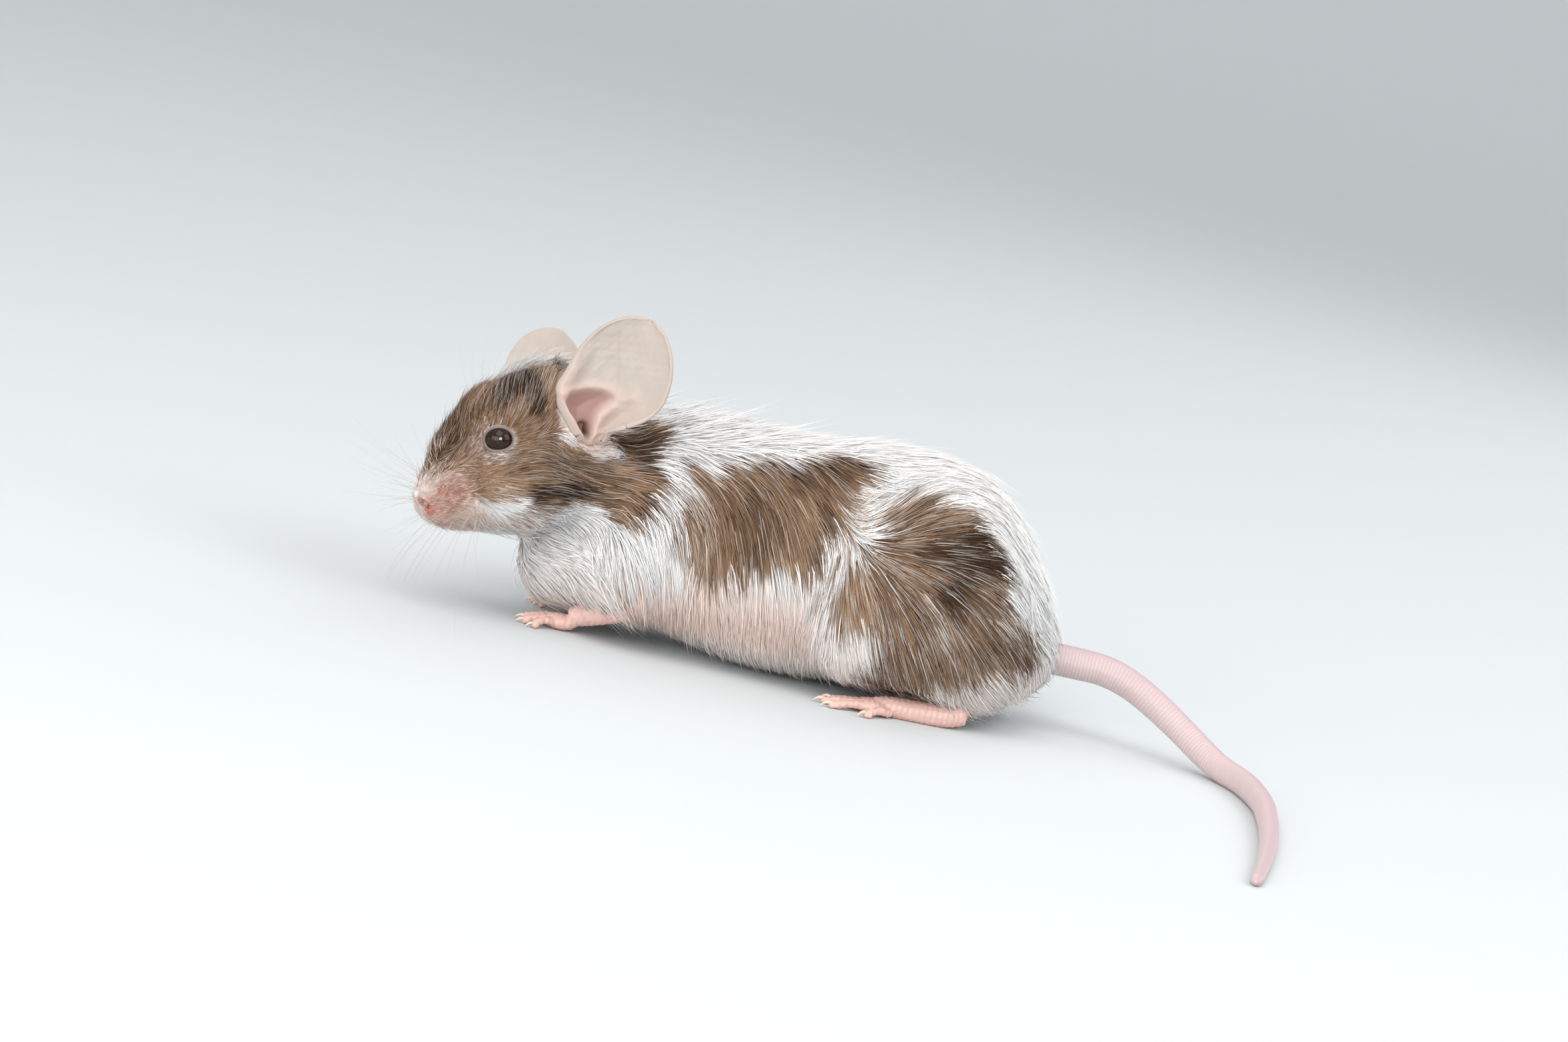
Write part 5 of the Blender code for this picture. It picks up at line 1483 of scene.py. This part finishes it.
for number, t in enumerate(STATIONS):
    track[:, number] += aside[:, number] * (wave * (t * t - 0.6 * t))[:, None]
track[:, 0] -= ups[:, 0] * 0.12
track[:, :, 2] = np.maximum(track[:, :, 2], 0.04)

# No hair crosses an ear's funnel or comes through the leaf.
clear = np.ones(total, bool)
for side_name in SIDES:
    for number in (1, 2, 3):
        local, radius, away = funnel_of(unturned(track[:, number]), side_name)
        along_ear = (local[:, 2] > -0.3) & (local[:, 2] < 10)
        in_funnel = (away < radius + 0.35) & (local[:, 1] < 1.25 * radius)
        same_side = np.sign(straight_roots[:, 1]) == SIDES[side_name]
        clear &= ~(along_ear & in_funnel & same_side)

# Each tuft takes its colour where most of it lies, so that the markings' edges are made of hair.
middle = 0.5 * (track[:, 1] + track[:, 2])
brown, dark, tan = colours_at(middle + draw.normal(size=(total, 3)) * (0.25 + 0.6 * on_muzzle)[:, None])
chance = 0.12 + 0.76 * (0.65 * draw.uniform(size=total) + 0.35 * lock_tone)
brown = smooth_step(0.5 + 2.2 * (1.3 * brown - 0.15 - chance)) * (1 - 0.2 * stray)
dark = np.clip(dark * draw.uniform(0.75, 1.2, total), 0, 1)
tone = np.clip(0.5 + 0.63 * (strand - 0.5) + (0.55 + 0.7 * on_collar) * (lock_tone - 0.5), 0, 1)
cream_and_bounce = 0.04 + 0.6 * bareness(middle) + 0.4 * patch("belly_pink", *round_body(middle), 4.0) + 0.7 * on_muzzle
# Low on the body the white hair is painted warmer, as painted light bounced up from below.
cream_and_bounce += 0.45 * smooth_step((13 - middle[:, 2]) / 9) * (1 - on_head)
cream_and_bounce = np.clip(cream_and_bounce + 0.12 * (lock_tone - 0.5) + 0.25 * (strand - 0.5), 0, 1)

fur, tree = start_material("soft fancy-mouse fur")
colour, along = fur_colour(tree)
# Each tuft is painted darker towards its root, as painted shade deep in the coat.
painted_root_shade = add_node(tree, "ShaderNodeMapRange", {0: along, 1: 0.0, 2: 0.6, 3: 0.76, 4: 1.0})
colour = mix_colours(tree, 1.0, colour, painted_root_shade.outputs[0], "MULTIPLY")
surface = add_node(tree, "ShaderNodeBsdfPrincipled", {
    "Base Color": colour, "Roughness": 0.7, "IOR": 1.5, "Specular IOR Level": 0.06,
    "Sheen Weight": 0.03, "Sheen Roughness": 0.5})
add_node(tree, "ShaderNodeOutputMaterial", {"Surface": surface.outputs[0]})


def make_tufts(name, chosen, rings):
    """One part of the coat: each tuft a closed three-sided spike with its own small place on the unwrap."""
    picked = np.flatnonzero(chosen)
    n = len(picked)
    if rings == RINGS_LONG:
        line, rows = track[picked], np.array([0, 1, 2])
        girth = np.array([0.62, 1.0, 0.70])
    else:
        line = track[picked][:, [0, 1, 3]]
        rows = np.array([0, 1])
        girth = np.array([0.75, 1.0])
    up = ups[picked][:, [0, 1, 2, 3]] if rings == RINGS_LONG else ups[picked][:, [0, 1, 3]]
    heading = unit(np.gradient(line, axis=1))
    side = unit(np.cross(heading, up))
    over = np.cross(side, heading)
    shade_up = up + across_face(white_fluff)[picked][:, None, None] * FLUFF_LIGHT
    corners_of, normals_of = [], []
    for row, thick in zip(rows, girth):
        half = (width[picked] * 0.5 * thick)[:, None]
        for turn_by, flat in ((math.radians(90), 0.55), (math.radians(210), 1.0), (math.radians(330), 1.0)):
            away = side[:, row] * math.cos(turn_by) + over[:, row] * math.sin(turn_by) * 0.6
            corners_of.append(line[:, row] + away * half)
            normals_of.append(unit(0.22 * unit(away) + 0.9 * unit(shade_up[:, row])))
    corners_of.append(line[:, -1])
    normals_of.append(unit(shade_up[:, -1]))
    each = len(corners_of)
    points = np.stack(corners_of, axis=1).reshape(-1, 3)
    points[:, 2] = np.maximum(points[:, 2], 0.0)
    normals = np.stack(normals_of, axis=1).reshape(-1, 3)
    first = np.arange(n)[:, None] * each
    walls = [(s + 3 + k, s + 3 + (k + 1) % 3, s + (k + 1) % 3, s + k)
             for s in range(0, 3 * len(rows) - 3, 3) for k in range(3)]
    quads = np.vstack([first + np.array(wall) for wall in walls])
    last = (len(rows) - 1) * 3
    triangles = np.vstack([*[first + np.array([last + (k + 1) % 3, last + k, each - 1]) for k in range(3)],
                           first + np.array([0, 1, 2])])
    piece = new_piece(name, points, quads, triangles)
    mesh = piece.data
    every = np.repeat(np.arange(n), each)
    share = np.tile(np.concatenate([np.repeat(STATIONS[rows], 3), [1.0]]), n)
    rows_of = picked[every]
    paint_corners(mesh, "markings", brown[rows_of], dark[rows_of], tan[rows_of])
    paint_corners(mesh, "hair", tone[rows_of], share, cream_and_bounce[rows_of])
    angle = np.tile(np.concatenate([np.tile(np.radians([90, 210, 330]), len(rows)), [0]]), n)
    reach = np.tile(np.concatenate([np.repeat(1 - 0.8 * STATIONS[rows], 3), [0.0]]), n) * PATCH_SIZE / 2
    star = np.stack([np.cos(angle), np.sin(angle)], axis=1) * reach[:, None]
    spots = np.clip(root_uv[rows_of], 0.002, 0.998) + star
    layer = mesh.uv_layers.new(name="OFBake")
    loop_corner = np.empty(len(mesh.loops), np.int32)
    mesh.loops.foreach_get("vertex_index", loop_corner)
    layer.data.foreach_set("uv", spots[loop_corner].astype(np.float32).ravel())
    mesh.normals_split_custom_set_from_vertices(normals.astype(np.float32))
    put_material(piece, fur)
    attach(piece, "root")


x = straight_roots[:, 0]
REGIONS = {
    "coat_nose": -61.2, "coat_muzzle": -58.2, "coat_brow": -55.6, "coat_cheeks": -53.0,
    "coat_forehead": -50.4,
    "coat_crown": -47.6, "coat_nape": -43.0, "coat_collar": -37.0, "coat_shoulders": -30.0,
    "coat_breast": -23.0,
    "coat_ribs": -16.0, "coat_flanks": -9.5, "coat_loin": -3.5, "coat_haunches": 2.0, "coat_hips": 7.0,
    "coat_rump": 12.0, "coat_tail_root": 99.0,
}
short = length < SHORT_FUR
before = -99.0
for name, end in REGIONS.items():
    region = (x >= before) & (x < end) & clear
    before = end
    if x[region].mean() > -42:
        make_tufts(name, region, RINGS_SHORT)
        continue
    for suffix, kind, rings in (("", region & ~short, RINGS_LONG), ("_short", region & short, RINGS_SHORT)):
        if kind.sum() > 40:
            make_tufts(name + suffix, kind, rings)

low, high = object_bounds()
